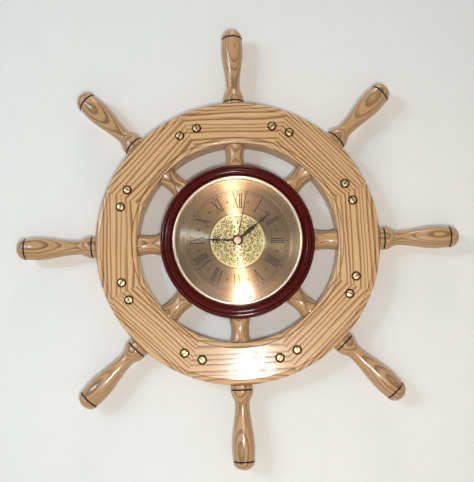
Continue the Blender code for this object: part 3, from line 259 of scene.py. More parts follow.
def rim_profile():
    """Loop of (radius, forward): flat back, quarter round and step at each edge, flat face."""
    back, step = RIM_JOINT + JOINT_GAP / 2, RIM_FACE - EDGE_STEP
    low = step - EDGE_FALL
    outer = arc((RIM_OUTER - EDGE_ROUND, low), (EDGE_ROUND, EDGE_FALL), 0, 90, 16)
    inner = arc((RIM_INNER + EDGE_ROUND, low), (EDGE_ROUND, EDGE_FALL), 90, 180, 16)
    face_outer = RIM_OUTER - EDGE_ROUND - STEP_SLOPE
    face_inner = RIM_INNER + EDGE_ROUND + STEP_SLOPE
    ease = 0.25
    face = [(face_outer, RIM_FACE - ease), (face_outer - ease, RIM_FACE),
            (face_inner + ease, RIM_FACE), (face_inner, RIM_FACE - ease)]
    return np.vstack([[(RIM_INNER, back), (RIM_OUTER, back)], outer, face, inner])


print("rim profile", len(rim_profile()), "points")

# %% The screws and the shape of their seats
HEAD_RADIUS, HEAD_DOME, HEAD_CONE, SHANK_RADIUS, SCREW_LENGTH = 4.5, 1.3, 2.2, 2.0, 22.0
SEAT_GAP = 0.3


def seat_cutter(name, turn):
    """Countersunk hole for one screw: a bore, then a cone that opens past the rim's face."""
    bore, floor, over = SHANK_RADIUS + SEAT_GAP, RIM_FACE - SCREW_LENGTH - SEAT_GAP, 2.0
    slope = (HEAD_RADIUS - SHANK_RADIUS) / HEAD_CONE
    cone_top = bore + slope * (HEAD_CONE + SEAT_GAP + over)
    profile = [(0, floor), (bore, floor), (bore, RIM_FACE - HEAD_CONE - SEAT_GAP),
               (cone_top, RIM_FACE + over), (0, RIM_FACE + over)]
    cutter = turned(name, profile, 40, open_ends=True)
    cutter.data.transform(Matrix.Translation(Vector(around(SCREW_CIRCLE, turn, 0.0))))
    return cutter


def turned_on_spoke(name, profile, turn, sides=72):
    """A profile of (distance from the clock's axis, radius) carried round a spoke's own axis."""
    profile = np.asarray(profile, float)
    along, radius = profile[None, :, 0], profile[None, :, 1]
    angle = np.arange(sides)[:, None] * FULL_TURN / sides
    x, forward = radius * np.cos(angle), RIM_JOINT + radius * np.sin(angle)
    points = np.stack([x * math.cos(turn) + along * math.sin(turn), -forward,
                       along * math.cos(turn) - x * math.sin(turn)], axis=-1) * MM
    return mesh_piece(name, points, grid_faces(sides, len(profile), True))


BED_RADIUS = 8.3


def bed_cutter(name, turn, start=RIM_INNER - 6, end=RIM_OUTER + 4):
    """Round bed for one spindle, from inside the rim to outside it."""
    return turned_on_spoke(name, [(start, 0), (start, BED_RADIUS), (end, BED_RADIUS), (end, 0)], turn, 48)


print("screw turn", round(math.degrees(screw_turn), 2), "degrees from a mitre")

# %% Make the eight front segments
PITHS = [(62, -34), (70, 8), (58, -22), (66, -12), (74, -30), (60, 4), (82, -16), (48, -46)]
TILTS = [0.004, -0.02, 0.012, -0.008, 0.006, 0.015, -0.01, 0.03]
GROWTHS = [1.1, 1.1, 1.1, 1.2, 1.1, 1.15, 1.0, 1.1]
CREASE_SHADE_AND_GRIME = 0.9  # how dark the step and the screws' seats are painted: shade and grime
CLOSE = 0.05  # mm: nearer than this, a point counts as lying on an edge
half_segment = EIGHTH / 2 - math.asin(GLUE_LINE / 2 / RIM_INNER)
near_mitre = EIGHTH / 2 - screw_turn


def nearest(points, places):
    """How far each point is from the nearest of some places, seen from the front, in mm."""
    return np.min([np.hypot(points[:, 0] - p[0] / MM, points[:, 2] - p[2] / MM) for p in places], axis=0)


segments = []
for number in range(SPOKES):
    turn = number * EIGHTH
    segment = carried(f"ash_segment_{number + 1}", rim_profile(), half_segment, 33)
    turn_mesh(segment.data, turn)
    cut_out(segment, [bed_cutter("bed", turn), seat_cutter("seat_a", turn - near_mitre),
                      seat_cutter("seat_b", turn + near_mitre)])
    set_grain(segment, turn, PITHS[number], TILTS[number], GROWTHS[number])
    points = corners_of(segment.data) / MM
    radius, forward = np.hypot(points[:, 0], points[:, 2]), -points[:, 1]
    # The step's crease and the screws' seats get painted shade and grime through `dark`.
    at_step = np.minimum(abs(radius - RIM_INNER - EDGE_ROUND), abs(radius - RIM_OUTER + EDGE_ROUND)) < CLOSE
    at_step &= abs(forward - RIM_FACE + EDGE_STEP) < CLOSE
    from_screw = nearest(points, [around(SCREW_CIRCLE, turn + side * near_mitre, 0) for side in (-1, 1)])
    in_seat = (from_screw < HEAD_RADIUS + 0.5) & (forward < RIM_FACE - 0.1)
    segments.append(set_dark(segment, CREASE_SHADE_AND_GRIME * (at_step | in_seat)))
print("segments", [len(s.data.polygons) for s in segments])

# %% [markdown]
# ## The backing ring
# A plainer ring behind the segments, routed from a glued-up panel, so its grain runs one way all round. The
# spindles are clamped between the two layers, and the sixteen screws reach into this one.

# %% Make the backing ring
BACK_CHAMFER, PANEL_PITH = 2.0, (40, 160)


def chamfered_board(inner, outer, back, front, chamfer):
    """Loop of (radius, forward) with both back edges chamfered."""
    return [(inner, front), (outer, front), (outer, back + chamfer), (outer - chamfer, back),
            (inner + chamfer, back), (inner, back + chamfer)]


board = chamfered_board(RIM_INNER, RIM_OUTER, RIM_BACK, RIM_JOINT - JOINT_GAP / 2, BACK_CHAMFER)
backing = turned("ash_backing_ring", board, 256)
hollows = [bed_cutter(f"bed_{k}", k * EIGHTH) for k in range(SPOKES)]
hollows += [seat_cutter(f"seat_{k}_{side}", k * EIGHTH + side * near_mitre)
            for k in range(SPOKES) for side in (-1, 1)]
cut_out(backing, hollows)
set_grain(backing, 0.0, PANEL_PITH)
print("backing ring", len(backing.data.polygons), "faces")

# %% [markdown]
# ## The spindles
# Each spoke and handle is one turning: a tenon in the hub, a waisted baluster, a plain core through the rim,
# then a collar, a burnt line, a flare, a slim waist and a long belly. They are turned by eye, so each has its
# own length. A turner eases each curve into the next, which half cosine waves do well. Between hub and rim
# two parabolas meet at the waist, so that a lamp draws one streak there and not three dots. The burnt lines
# are fine V-grooves that a hot wire has darkened, so the `dark` attribute marks them for the wood's colour.

# %% Sizes and outline of a spindle
CORE, TENON_END, HUB_FACE = 8.0, 66.8, 78.3
SPOKE_MIDDLE, SPOKE_END = 89.64, 100.98
COLLAR_START, WAIST_PLACE = 144.3, 163.4
COLLAR_GROOVES = [147.6, 148.2, 149.0, 148.2, 148.8, 149.0, 148.6, 148.2]
TIP_GROOVES = [215.8, 215.4, 216.0, 217.4, 219.5, 217.9, 217.4, 215.8]
TIPS = [226.3, 225.7, 226.6, 227.8, 228.8, 227.4, 227.4, 226.8]
GROOVE_DEPTH, GROOVE_HALF = 1.0, 0.75
COLLAR_RADIUS, FLARE, WAIST, BELLY, TIP_RADIUS = 11.2, 11.1, 7.1, 11.5, 10.9
HUB_END, SPOKE_WAIST, RIM_END = 11.0, 9.0, 10.8


def groove(along, radius):
    """A V as wide as the burning wire, with a point just outside each lip where the scorching ends."""
    lip = GROOVE_HALF + 0.15
    return [(along - lip, radius), (along - GROOVE_HALF, radius - 0.05), (along, radius - GROOVE_DEPTH),
            (along + GROOVE_HALF, radius - 0.05), (along + lip, radius)]


def spindle_outline(number):
    """(distance from the clock's axis, radius) from the tenon's end to the tip."""
    collar, tip_groove, tip = COLLAR_GROOVES[number], TIP_GROOVES[number], TIPS[number]
    flare_end, belly_place, tip_start = collar + 2.4, tip_groove - 10.5, tip_groove + GROOVE_HALF
    spoke = np.linspace(HUB_FACE, SPOKE_END, 23)
    bow = (spoke - SPOKE_MIDDLE) / (SPOKE_END - SPOKE_MIDDLE)
    return np.vstack([
        [(TENON_END, 0), (TENON_END, CORE - 0.4), (TENON_END + 0.4, CORE), (HUB_FACE, CORE)],
        np.column_stack([spoke, SPOKE_WAIST + (np.where(spoke < SPOKE_MIDDLE, HUB_END, RIM_END)
                                               - SPOKE_WAIST) * bow ** 2]),
        [(SPOKE_END, CORE), (COLLAR_START, CORE), (COLLAR_START, COLLAR_RADIUS - 0.3),
         (COLLAR_START + 0.3, COLLAR_RADIUS)],
        groove(collar, COLLAR_RADIUS),
        [(flare_end, FLARE)],
        eased((flare_end, FLARE), (WAIST_PLACE, WAIST), 14)[1:],
        eased((WAIST_PLACE, WAIST), (belly_place, BELLY), 24)[1:],
        groove(tip_groove, TIP_RADIUS),
        arc((tip_start, 0), (tip - tip_start, TIP_RADIUS), 90, 0, 14)[1:],
    ])


print("spindle outline", len(spindle_outline(0)), "points")

# %% Make the eight spindles
SPINDLE_PITHS = [(1, -27), (-5, -55), (2, 74), (7, -30), (-4, -70), (5, 66), (-8, -44), (2, -60)]
SPINDLE_TILT = 0.05


def mark_burns(piece, turn, lines):
    """Darkens the walls of the two burnt lines."""
    points = corners_of(piece.data) / MM
    along = points[:, 0] * math.sin(turn) + points[:, 2] * math.cos(turn)
    distance = np.minimum(abs(along - lines[0]), abs(along - lines[1]))
    return set_dark(piece, distance < GROOVE_HALF + CLOSE)


spindles = []
for number in range(SPOKES):
    turn = number * EIGHTH
    spindle = turned_on_spoke(f"turned_spindle_{number + 1}", spindle_outline(number), turn)
    set_grain(spindle, turn + math.pi / 2, SPINDLE_PITHS[number], SPINDLE_TILT * (-1) ** number)
    spindles.append(mark_burns(spindle, turn, (COLLAR_GROOVES[number], TIP_GROOVES[number])))
print("spindles", len(spindles), "of", len(spindles[0].data.polygons), "faces")

# %% [markdown]
# ## The screws
# Slotted oval-head brass screws, in pairs astride each mitre. One screw is turned and slotted, then it is
# copied to the sixteen places, each with its slot where the screwdriver left it.

# %% Make the sixteen screws
SLOT_WIDTH, SLOT_FLOOR = 1.0, RIM_FACE - 0.3
SHADE_AND_TARNISH_START, SHADE_AND_TARNISH_END = 2.5, 3.5
SLOT_TURNS = [140, 35, 128, 60, 152, 20, 75, 118, 48, 140, 62, 125, 95, 30, 110, 70]


def screw_outline():
    """Dome, sharp rim, cone under the head, then a shank that ends in a short point."""
    end = RIM_FACE - SCREW_LENGTH
    return np.vstack([arc((0, RIM_FACE), (HEAD_RADIUS, HEAD_DOME), 90, 4, 14),
                      [(HEAD_RADIUS, RIM_FACE - 0.15), (SHANK_RADIUS, RIM_FACE - HEAD_CONE),
                       (SHANK_RADIUS, end + 2.5), (0, end)]])


def block(name, half_x, back, front, height, half_z):
    """A plain cutter, even about x = 0, between two forwards and about a height, in mm."""
    corners = [(sx * half_x, -forward, height + sz * half_z) for forward in (back, front)
               for sx, sz in ((-1, -1), (1, -1), (1, 1), (-1, 1))]
    sides = np.array([(0, 1, 2, 3), (7, 6, 5, 4), (0, 4, 5, 1), (1, 5, 6, 2), (2, 6, 7, 3), (3, 7, 4, 0)])
    return mesh_piece(name, np.array(corners) * MM, sides)


slot = block("slot", HEAD_RADIUS + 1, SLOT_FLOOR, RIM_FACE + 3, 0, SLOT_WIDTH / 2)
model_screw = cut_out(turned("model_screw", screw_outline(), 48, open_ends=True), [slot])
points = corners_of(model_screw.data) / MM
off_axis = np.hypot(points[:, 0], points[:, 2])
in_slot = (abs(points[:, 2]) < SLOT_WIDTH / 2 + 0.01) & (-points[:, 1] < SLOT_FLOOR + 0.02)
# Tarnish and painted shade: darker from 2.5 mm out towards the head's rim, and in the slot.
set_dark(model_screw, np.maximum(np.clip((off_axis - SHADE_AND_TARNISH_START) / (SHADE_AND_TARNISH_END - SHADE_AND_TARNISH_START), 0, 1),
                                 in_slot))
screws = []
for mitre in range(SPOKES):
    for pair, side in enumerate((-1, 1)):
        number = 2 * mitre + pair
        turn = (mitre + 0.5) * EIGHTH + side * screw_turn
        screw = placed(f"brass_screw_{number + 1}", model_screw.data.copy())
        turn_mesh(screw.data, math.radians(SLOT_TURNS[number]))
        screw.data.transform(Matrix.Translation(Vector(around(SCREW_CIRCLE, turn, 0.0))))
        screws.append(screw)
bpy.data.objects.remove(model_screw)
print("screws", len(screws), "of", len(screws[0].data.polygons), "faces")

# %% [markdown]
# ## The hub
# A mahogany disc turned with a bead and a rounded shoulder, and bored from the front for the insert clock. A
# sawtooth hanger is let into its flat back, over a pocket that leaves room for the nail's head.

# %% Make the hub
HUB_RADIUS, HUB_FLOOR, HUB_BORE, LAND, COVE = 78.0, 8.0, 57.6, 33.0, 35.2
COVE_INNER, BEAD_INNER, BEAD_OUTER, BEAD_HEIGHT, SHOULDER = 66.0, 67.9, 73.8, 2.8, 74.5
SHOULDER_DROP, SHOULDER_RISE = 3.2, 4.0
HANGER_HEIGHT, HANGER_HALF, HANGER_HALF_WIDTH = 50.0, 28.3, 6.3
MORTISE, HUB_TURN, HUB_PITH = 11.5, 0.35, (35, 70)
PLATE_BED, POCKET_DEPTH, POCKET_HALF, POCKET_HALF_WIDTH = 1.6, 4.5, 21.0, 8.5


def hub_outline():
    """(radius, forward) from the floor of the bore over the moulding to the middle of the back."""
    bead_middle, bead_half = (BEAD_INNER + BEAD_OUTER) / 2, (BEAD_OUTER - BEAD_INNER) / 2
    bead = arc((bead_middle, COVE), (bead_half, BEAD_HEIGHT), 180, 0, 26)
    shoulder = arc((SHOULDER, COVE - SHOULDER_DROP), (HUB_RADIUS - SHOULDER, SHOULDER_RISE), 90, 0, 14)
    return np.vstack([[(0, HUB_FLOOR), (HUB_BORE, HUB_FLOOR), (HUB_BORE, LAND), (COVE_INNER, LAND),
                       (COVE_INNER, COVE - 0.2), (COVE_INNER + 0.2, COVE)], bead, shoulder,
                      [(HUB_RADIUS, 1.5), (HUB_RADIUS - 1.5, 0), (0, 0)]])


hub = turned("mahogany_hub", hub_outline(), 256, open_ends=True)
hollows = [bed_cutter(f"mortise_{k}", k * EIGHTH, HUB_RADIUS - MORTISE, HUB_RADIUS + 2)
           for k in range(SPOKES)]
hollows += [block("plate_bed", HANGER_HALF, -2, PLATE_BED, HANGER_HEIGHT, HANGER_HALF_WIDTH),
            block("nail_pocket", POCKET_HALF, -2, POCKET_DEPTH, HANGER_HEIGHT, POCKET_HALF_WIDTH)]
cut_out(hub, hollows)
set_grain(hub, HUB_TURN, HUB_PITH)
print("hub", len(hub.data.polygons), "faces")

# %% [markdown]
# ## The insert clock's bezel and glass
# A pressed brass ring grips a domed mineral glass. Both are turned profiles with fine steps, so that the
# polished crest draws one clean ring of light.

# %% Make the bezel and the lens
FLANGE_BACK, LENS_SEAT, LENS_BACK, LENS_THICKNESS, LENS_RISE, LENS_RADIUS = 33.3, 38.0, 38.3, 1.8, 4.7, 63.6
BEZEL_BORE, BEZEL_RADIUS, LIP_RADIUS, LIP_BACK, LIP_FRONT, CREST = 62.3, 65.3, 62.8, 40.4, 41.2, 0.7
SLOPE_START, CREST_OUTER = 37.0, 64.5
GAP = 0.3


def bezel_outline():
    """Loop of (radius, forward): wall, steep outer slope, rolled crest, lip over the glass, seat under it."""
    crest_middle, crest_half = (CREST_OUTER + LIP_RADIUS) / 2, (CREST_OUTER - LIP_RADIUS) / 2
    crest = arc((crest_middle, LIP_FRONT), (crest_half, CREST), 0, 180, 22)
    return np.vstack([[(BEZEL_BORE, FLANGE_BACK), (BEZEL_RADIUS - 0.3, FLANGE_BACK),
                       (BEZEL_RADIUS, FLANGE_BACK + 0.3), (BEZEL_RADIUS, SLOPE_START)], crest,
                      [(LIP_RADIUS, LIP_BACK), (LENS_RADIUS + GAP, LIP_BACK), (LENS_RADIUS + GAP, LENS_SEAT),
                       (BEZEL_BORE, LENS_SEAT)]])


def lens_outline():
    """Two parallel domes, forward = edge + rise (1 - (r/R)^2), joined by a ground edge."""
    share = np.linspace(0, 1, 30)
    dome = LENS_RISE * (1 - share ** 2)
    back = np.column_stack([LENS_RADIUS * share, LENS_BACK + dome])
    front = np.column_stack([LENS_RADIUS * share, LENS_BACK + LENS_THICKNESS + dome])
    return np.vstack([back, front[::-1]])


bezel = turned("brass_bezel", bezel_outline(), 256)
lens = turned("domed_glass", lens_outline(), 192, open_ends=True)
print("bezel and lens", len(bezel.data.polygons), len(lens.data.polygons))

# %% [markdown]
# ## The dial
# A disc of spun brass: a rotating pad leaves thousands of fine rings, which spread the lamp's light across
# them into a bow-tie. The middle carries a pale gold medallion. The dial has no live modifier, because the
# brushing's direction is found from its own middle.

# %% Make the dial and the medallion
DIAL_BACK, DIAL_FACE, DIAL_RADIUS, MARGIN_RADIUS, MARGIN_RISE = 34.4, 35.0, 61.9, 53.5, 0.3
MEDALLION_RADIUS, MEDALLION_BED, DIAL_HOLE = 27.4, 34.75, 4.1
MEDALLION_FACE = 34.97

margin = [(MARGIN_RADIUS + out, DIAL_FACE + MARGIN_RISE - down)
          for out, down in ((1.2, 0), (0.9, 0.12), (0.3, 0.12))]
trough = [(MEDALLION_RADIUS + out, DIAL_FACE - down) for out, down in ((1.6, 0), (1.3, 0.15), (0.3, 0.15))]
dial = turned("spun_brass_dial", [
    (DIAL_HOLE, DIAL_BACK), (DIAL_RADIUS, DIAL_BACK), (DIAL_RADIUS, DIAL_FACE + MARGIN_RISE), *margin,
    (MARGIN_RADIUS, DIAL_FACE), *trough, (MEDALLION_RADIUS, MEDALLION_BED), (DIAL_HOLE, MEDALLION_BED)],
    256, sharp=20)
edge = [(MEDALLION_RADIUS - inside, MEDALLION_FACE + rise)
        for inside, rise in ((0.2, -0.1), (0.45, 0.1), (0.95, 0.1), (1.2, 0))]
medallion = turned("gold_medallion", [
    (DIAL_HOLE, MEDALLION_BED), (MEDALLION_RADIUS - 0.2, MEDALLION_BED), *edge,
    (DIAL_HOLE, MEDALLION_FACE)], 192, sharp=20)
print("dial and medallion", len(dial.data.polygons), len(medallion.data.polygons))

# %% [markdown]
# ## Printing on the dial
# Screen-printed ink is a layer a few hundredths of a millimetre thick. Numerals, minute marks and scrollwork
# are all ribbons: a line in the dial's plane with a width at each of its points. One function makes any
# number of them at once, so a numeral is a few short ribbons and a scroll is one curled one.

# %% Ribbons
INSERT_TURN = math.radians(1.7)
INK_THICKNESS = 0.03


def ribbons(name, lines, widths, face=DIAL_FACE, thickness=INK_THICKNESS):
    """Flat strips along many lines at once. `lines` is (ribbons, points, 2) in the dial's plane, x to the
    right and z up, in mm, and `widths` fits (ribbons, points). Each point moves half a width along the
    line's normal, to both sides, and the strip lies on a face."""
    lines = np.asarray(lines, float)
    widths = np.broadcast_to(np.asarray(widths, float), lines.shape[:2])[..., None]
    tangent = np.gradient(lines, axis=1)
    tangent /= np.linalg.norm(tangent, axis=-1, keepdims=True)
    normal = np.stack([-tangent[..., 1], tangent[..., 0]], axis=-1)
    one_side, other = lines + normal * widths / 2, lines - normal * widths / 2
    edges = np.stack([one_side, other, other, one_side], axis=2)
    depth = np.broadcast_to(-face - thickness * np.array([0, 0, 1, 1]), edges.shape[:3])
    points = np.stack([edges[..., 0], depth, edges[..., 1]], axis=-1) * MM
    count, stations = lines.shape[:2]
    start = (np.arange(count) * stations * 4)[:, None, None]
    faces = (grid_faces(stations, 4, False, True)[None] + start).reshape(-1, 4)
    first = start[:, 0, 0][:, None] + np.arange(4)[::-1]
    last = start[:, 0, 0][:, None] + (stations - 1) * 4 + np.arange(4)
    return mesh_piece(name, points, np.vstack([faces, first, last]))


def radial(clockwise, offsets, reaches):
    """Points of the dial's plane at a clockwise angle: sideways offset and distance from the middle."""
    offsets, reaches = np.asarray(offsets, float), np.asarray(reaches, float)
    return np.stack([reaches * np.sin(clockwise) + offsets * np.cos(clockwise),
                     reaches * np.cos(clockwise) - offsets * np.sin(clockwise)], axis=-1)


print("ribbons ready")

# %% The numerals
# Feet of the numerals point to the middle. A letter has a width, half a serif's length, and strokes from
# head to foot: where each starts and ends, as a share of half the letter, and how thick it is.
NUMERAL_FOOT, NUMERAL_HEAD = 33.6, 47.2
THICK, THIN, SERIF, BEARING = 1.0, 0.5, 0.45, 0.55
NUMERALS = ["XII", "I", "II", "III", "IIII", "V", "VI", "VII", "VIII", "IX", "X", "XI"]
LETTERS = {"I": (2.1, 1.05, [(0, 0, THICK)]), "V": (5.6, 1.1, [(-1, 0, THICK), (1, 0, THIN)]),
           "X": (5.6, 1.1, [(-1, 1, THICK), (1, -1, THIN)])}


def numeral_strokes(text, clockwise):
    """The lines and widths of one numeral, its letters side by side about their common middle: thick down
    strokes, thin up strokes, and a serif at each end but for the foot of a V."""
    made, place = [], -sum(LETTERS[letter][0] for letter in text) / 2
    for letter in text:
        width, serif, strokes = LETTERS[letter]
        middle, half = place + width / 2, width / 2 - BEARING
        place += width
        for top, low, thickness in strokes:
            ends = [(middle + top * half, NUMERAL_HEAD), (middle + low * half, NUMERAL_FOOT)]
            made.append((*ends[0], *ends[1], thickness))
            footed = ends if letter != "V" else ends[:1]
            made += [(x - serif, reach, x + serif, reach, SERIF) for x, reach in footed]
    made = np.array(made)
    return radial(clockwise, made[:, [0, 2]], made[:, [1, 3]]), made[:, 4:5]


parts = [numeral_strokes(text, INSERT_TURN + hour * FULL_TURN / 12) for hour, text in enumerate(NUMERALS)]
numerals = ribbons("printed_numerals", *(np.concatenate(stack) for stack in zip(*parts)))
print("numerals", len(numerals.data.polygons), "faces")

# %% The minute track and the half-hour marks
TRACK_INNER, TRACK_OUTER, TRACK_LINE = 48.7, 50.7, 0.28
FIVE_MINUTE, ONE_MINUTE = 0.9, 0.3
HALF_HOUR_REACH = 40.5

minute = INSERT_TURN + np.arange(60) * FULL_TURN / 60
corners = [(-1, 0), (1, 0), (1, INK_THICKNESS), (-1, INK_THICKNESS)]
track_rings = [turned(f"printed_track_ring_{k + 1}",
                      [(radius + side * TRACK_LINE / 2, DIAL_FACE + rise) for side, rise in corners], 192)
               for k, radius in enumerate((TRACK_INNER, TRACK_OUTER))]
ticks = radial(minute[:, None], 0, [TRACK_INNER, TRACK_OUTER])
tick_widths = np.where(np.arange(60) % 5 == 0, FIVE_MINUTE, ONE_MINUTE)[:, None]
track_marks = ribbons("printed_minute_marks", ticks, tick_widths)

half_hour = (INSERT_TURN + (np.arange(12) + 0.5) * FULL_TURN / 12)[:, None]
stations = np.linspace(-1, 1, 9)
upright = radial(half_hour, 0, HALF_HOUR_REACH + stations * 2.1)
crossbar = radial(half_hour, stations * 1.9, HALF_HOUR_REACH)
girths = [0.15 + girth * (1 - abs(stations)) ** 1.5 for girth in (1.1, 0.9)]
half_marks = ribbons("printed_half_hours", np.concatenate([upright, crossbar]), np.repeat(girths, 12, 0))
print("track", len(track_marks.data.polygons), "half hours", len(half_marks.data.polygons))

# %% The medallion's scrollwork
# Plain C and S scrolls with leaves, of the kind that engravers have used for centuries, ten times round.
SCROLLS_ROUND = 10


def spiral(reach, offset, start_radius, end_radius, start, turns, count=40):
    """A curl about a middle at (offset, reach): its radius shrinks evenly while its angle grows."""
    share = np.linspace(0, 1, count)
    radius = start_radius + (end_radius - start_radius) * share
    angle = math.radians(start) + turns * FULL_TURN * share
    return np.stack([offset + radius * np.cos(angle), reach + radius * np.sin(angle)], axis=-1)


def repeated(line, turns):
    """A (points, 2) line of offset and reach, set at each of many clockwise turns."""
    return radial(turns[:, None], *line.T)


def swelling(count, thin, thick):
    """Widths that swell in the middle of a line and taper at both ends."""
    return thin + (thick - thin) * np.sin(np.pi * np.linspace(0, 1, count)) ** 0.7


sector = INSERT_TURN + np.arange(SCROLLS_ROUND) * FULL_TURN / SCROLLS_ROUND
between = sector + FULL_TURN / SCROLLS_ROUND / 2
curls = [(spiral(20.7, 2.9, 2.4, 0.6, -80, 1.3), sector), (spiral(20.7, -2.9, 2.4, 0.6, 260, -1.3), sector),
         (spiral(24.1, 0.0, 1.1, 0.7, -90, 1.0), between), (spiral(23.6, 0.0, 1.3, 0.5, 90, 1.2), sector),
         (spiral(15.3, 0.0, 2.1, 0.5, 90, 1.35), between), (spiral(14.0, 1.9, 1.4, 0.5, 200, 1.2), sector),
         (spiral(14.0, -1.9, 1.4, 0.5, -20, -1.2), sector), (spiral(9.6, 0.0, 1.3, 0.4, -90, 1.2), between)]
scroll_lines = np.concatenate([repeated(line, turns) for line, turns in curls])
scrolls = ribbons("printed_scrollwork", scroll_lines, swelling(40, 0.4, 1.0), MEDALLION_FACE)

leaf = np.linspace(0, 1, 12)
leaf_paths = [((0.0, 15.6), (0.0, 21.4), sector), ((0.9, 17.4), (2.2, 18.2), sector),
              ((-0.9, 17.4), (-2.2, 18.2), sector), ((1.7, 24.0), (3.6, 25.2), sector),
              ((-1.7, 24.0), (-3.6, 25.2), sector), ((0.0, 18.0), (0.0, 21.6), between),
              ((0.0, 10.0), (0.0, 13.0), sector), ((0.0, 5.8), (0.0, 8.0), sector)]
leaf_lines = np.concatenate([repeated(np.outer(1 - leaf, a) + np.outer(leaf, b), turns)
                             for a, b, turns in leaf_paths])
leaves = ribbons("printed_leaves", leaf_lines, swelling(12, 0.15, 1.5), MEDALLION_FACE, INK_THICKNESS * 1.3)
print("scrollwork", len(scrolls.data.polygons), "leaves", len(leaves.data.polygons))

# %% [markdown]
# ## The hands
# Stamped sheet brass: two black enamelled hands with pierced ornaments, and a copper-red second hand. An
# outline with holes is what Blender's flat curves fill best, so each hand is a flat curve, made a mesh before
# it gets its place, with a slight bevel where the press has rounded the edge.

# %% Flat outlines to solid hands
HAND_THICKNESS = 0.4
EDGE_BEVEL = 0.05


def ring_outline(middle, radii, count=48):
    """An ellipse about a middle, as points of the hand's plane."""
    return arc(middle, radii, 0, 360, count + 1)[:-1]


def stamping(name, outlines, back, turn):
    """Closed outlines in mm, holes inside them, filled flat, given a thickness and set at a turn."""
    flat = bpy.data.curves.new(name, "CURVE")
    flat.dimensions, flat.fill_mode = "2D", "BOTH"
    flat.bevel_depth, flat.bevel_resolution = EDGE_BEVEL * MM, 1
    flat.offset = -EDGE_BEVEL * MM
    flat.extrude = (HAND_THICKNESS / 2 - EDGE_BEVEL) * MM
    for outline in outlines:
        spline = flat.splines.new("POLY")
        spline.points.add(len(outline) - 1)
        spline.points.foreach_set("co", np.column_stack([outline * MM, np.zeros(len(outline)),
                                                         np.ones(len(outline))]).ravel())
        spline.use_cyclic_u = True
    helper = placed(name, flat)
    mesh = applied(helper)
    bpy.data.objects.remove(helper)
    mesh.transform(Matrix.Translation((0, -(back + HAND_THICKNESS / 2) * MM, 0))
                   @ Matrix.Rotation(math.pi / 2, 4, "X"))
    turn_mesh(mesh, turn)
    return link_piece(name, mesh)


def mirrored(side):
    """An outline from its right side, (half width, reach) from tail to tip."""
    return np.vstack([side, (side * [-1, 1])[::-1]])


print("stamping ready")

# %% Make the hands
HOUR_BACK, MINUTE_BACK, SECOND_BACK = 36.8, 38.0, 39.2
HOUR_ANGLE, MINUTE_ANGLE, SECOND_ANGLE = (INSERT_TURN + math.radians(a) for a in (271.8, 49.5, 10.5))
HOUR_BORE, MINUTE_BORE, HOUR_BOSS, MINUTE_BOSS, SECOND_BOSS = 2.8, 1.8, 5.4, 5.4, 3.6


def boss_side(radius, neck):
    """The right half of a round boss, from its foot up to where the blade leaves it."""
    return arc((0, 0), (radius, radius), -90, math.degrees(math.acos(neck / radius)), 24)


hour_side = np.vstack([boss_side(HOUR_BOSS, 0.75), eased((6.0, 0.75), (10.5, 1.2), 8)[:, ::-1],
                       eased((10.5, 1.2), (16.2, 0.45), 8)[1:, ::-1],
                       [(0.45, 17.4), (1.5, 17.7)], arc((1.9, 19.2), (1.8, 1.7), -70, 75, 10),
                       [(1.75, 21.2)], arc((1.9, 22.9), (1.9, 1.6), -75, 80, 10),
                       [(1.1, 24.6), (0.62, 26.4), (0.4, 28.6), (0.28, 31.5), (0.12, 34.1)]])
hour_holes = [ring_outline((side * 2.0, reach), (1.0, 0.95), 20)
              for side in (-1, 1) for reach in (19.3, 22.8)]
hour_hand = stamping("hour_hand_enamelled", [mirrored(hour_side), ring_outline((0, 0), (HOUR_BORE,) * 2)]
                     + hour_holes, HOUR_BACK, HOUR_ANGLE)
minute_side = np.vstack([boss_side(MINUTE_BOSS, 1.1), eased((5.4, 1.1), (16.4, 2.0), 14)[:, ::-1],
                         eased((16.4, 2.0), (28.4, 0.5), 12)[1:, ::-1],
                         [(0.5, 29.6), (0.9, 30.2)], arc((0.0, 32.4), (2.1, 2.0), -52, 55, 12),
                         [(0.75, 34.6), (0.5, 35.6), (0.42, 38.5), (0.3, 41.4), (0.12, 42.7)]])
minute_hand = stamping("minute_hand_enamelled",
                       [mirrored(minute_side), ring_outline((0, 0), (MINUTE_BORE,) * 2),
                        ring_outline((0, 32.4), (1.15, 1.25), 24)], MINUTE_BACK, MINUTE_ANGLE)
second_side = np.vstack([[(0.9, -14.9), (1.2, -14.5), (0.6, -3.7)],
                         arc((0, 0), (SECOND_BOSS,) * 2, -78, 84, 30), [(0.6, 5.0), (0.5, 30), (0.36, 50.4)]])
second_hand = stamping("second_hand_copper", [mirrored(second_side)], SECOND_BACK, SECOND_ANGLE)
print("hands", [len(h.data.polygons) for h in (hour_hand, minute_hand, second_hand)])

# %% [markdown]
# ## Materials
# Every finish starts as a Principled shader. One helper adds a node with its settings and links, and colours
# are written as the hex values a painter would pick, then turned to the linear values that light adds up in.

# %% Helpers for materials
def colour(code):
    """sRGB hex to linear RGBA: c / 12.92 below 0.04045, else ((c + 0.055) / 1.055) ^ 2.4."""
    values = [int(code[k:k + 2], 16) / 255 for k in (1, 3, 5)]
    return (*[v / 12.92 if v <= 0.04045 else ((v + 0.055) / 1.055) ** 2.4 for v in values], 1.0)


def add(tree, kind, inputs=None, stops=(), out=0, **settings):
    """Adds one node and gives back an output of it, the first unless `out` says which."""
    made = tree.nodes.new("ShaderNode" + kind)
    for key, value in settings.items():
        setattr(made, key, value)
    for index, (position, code) in enumerate(stops):
        if index > 1:
            made.color_ramp.elements.new(position)
        made.color_ramp.elements[index].position = position
        made.color_ramp.elements[index].color = colour(code)
    connect(tree, made, inputs or {})
    return made.outputs[out]


def connect(tree, made, inputs):
    """Links inputs of a node to other nodes' outputs, or sets them to a value or a hex colour."""
    for key, value in inputs.items():
        if isinstance(value, bpy.types.NodeSocket):
            tree.links.new(value, made.inputs[key])
        else:
            made.inputs[key].default_value = colour(value) if isinstance(value, str) else value


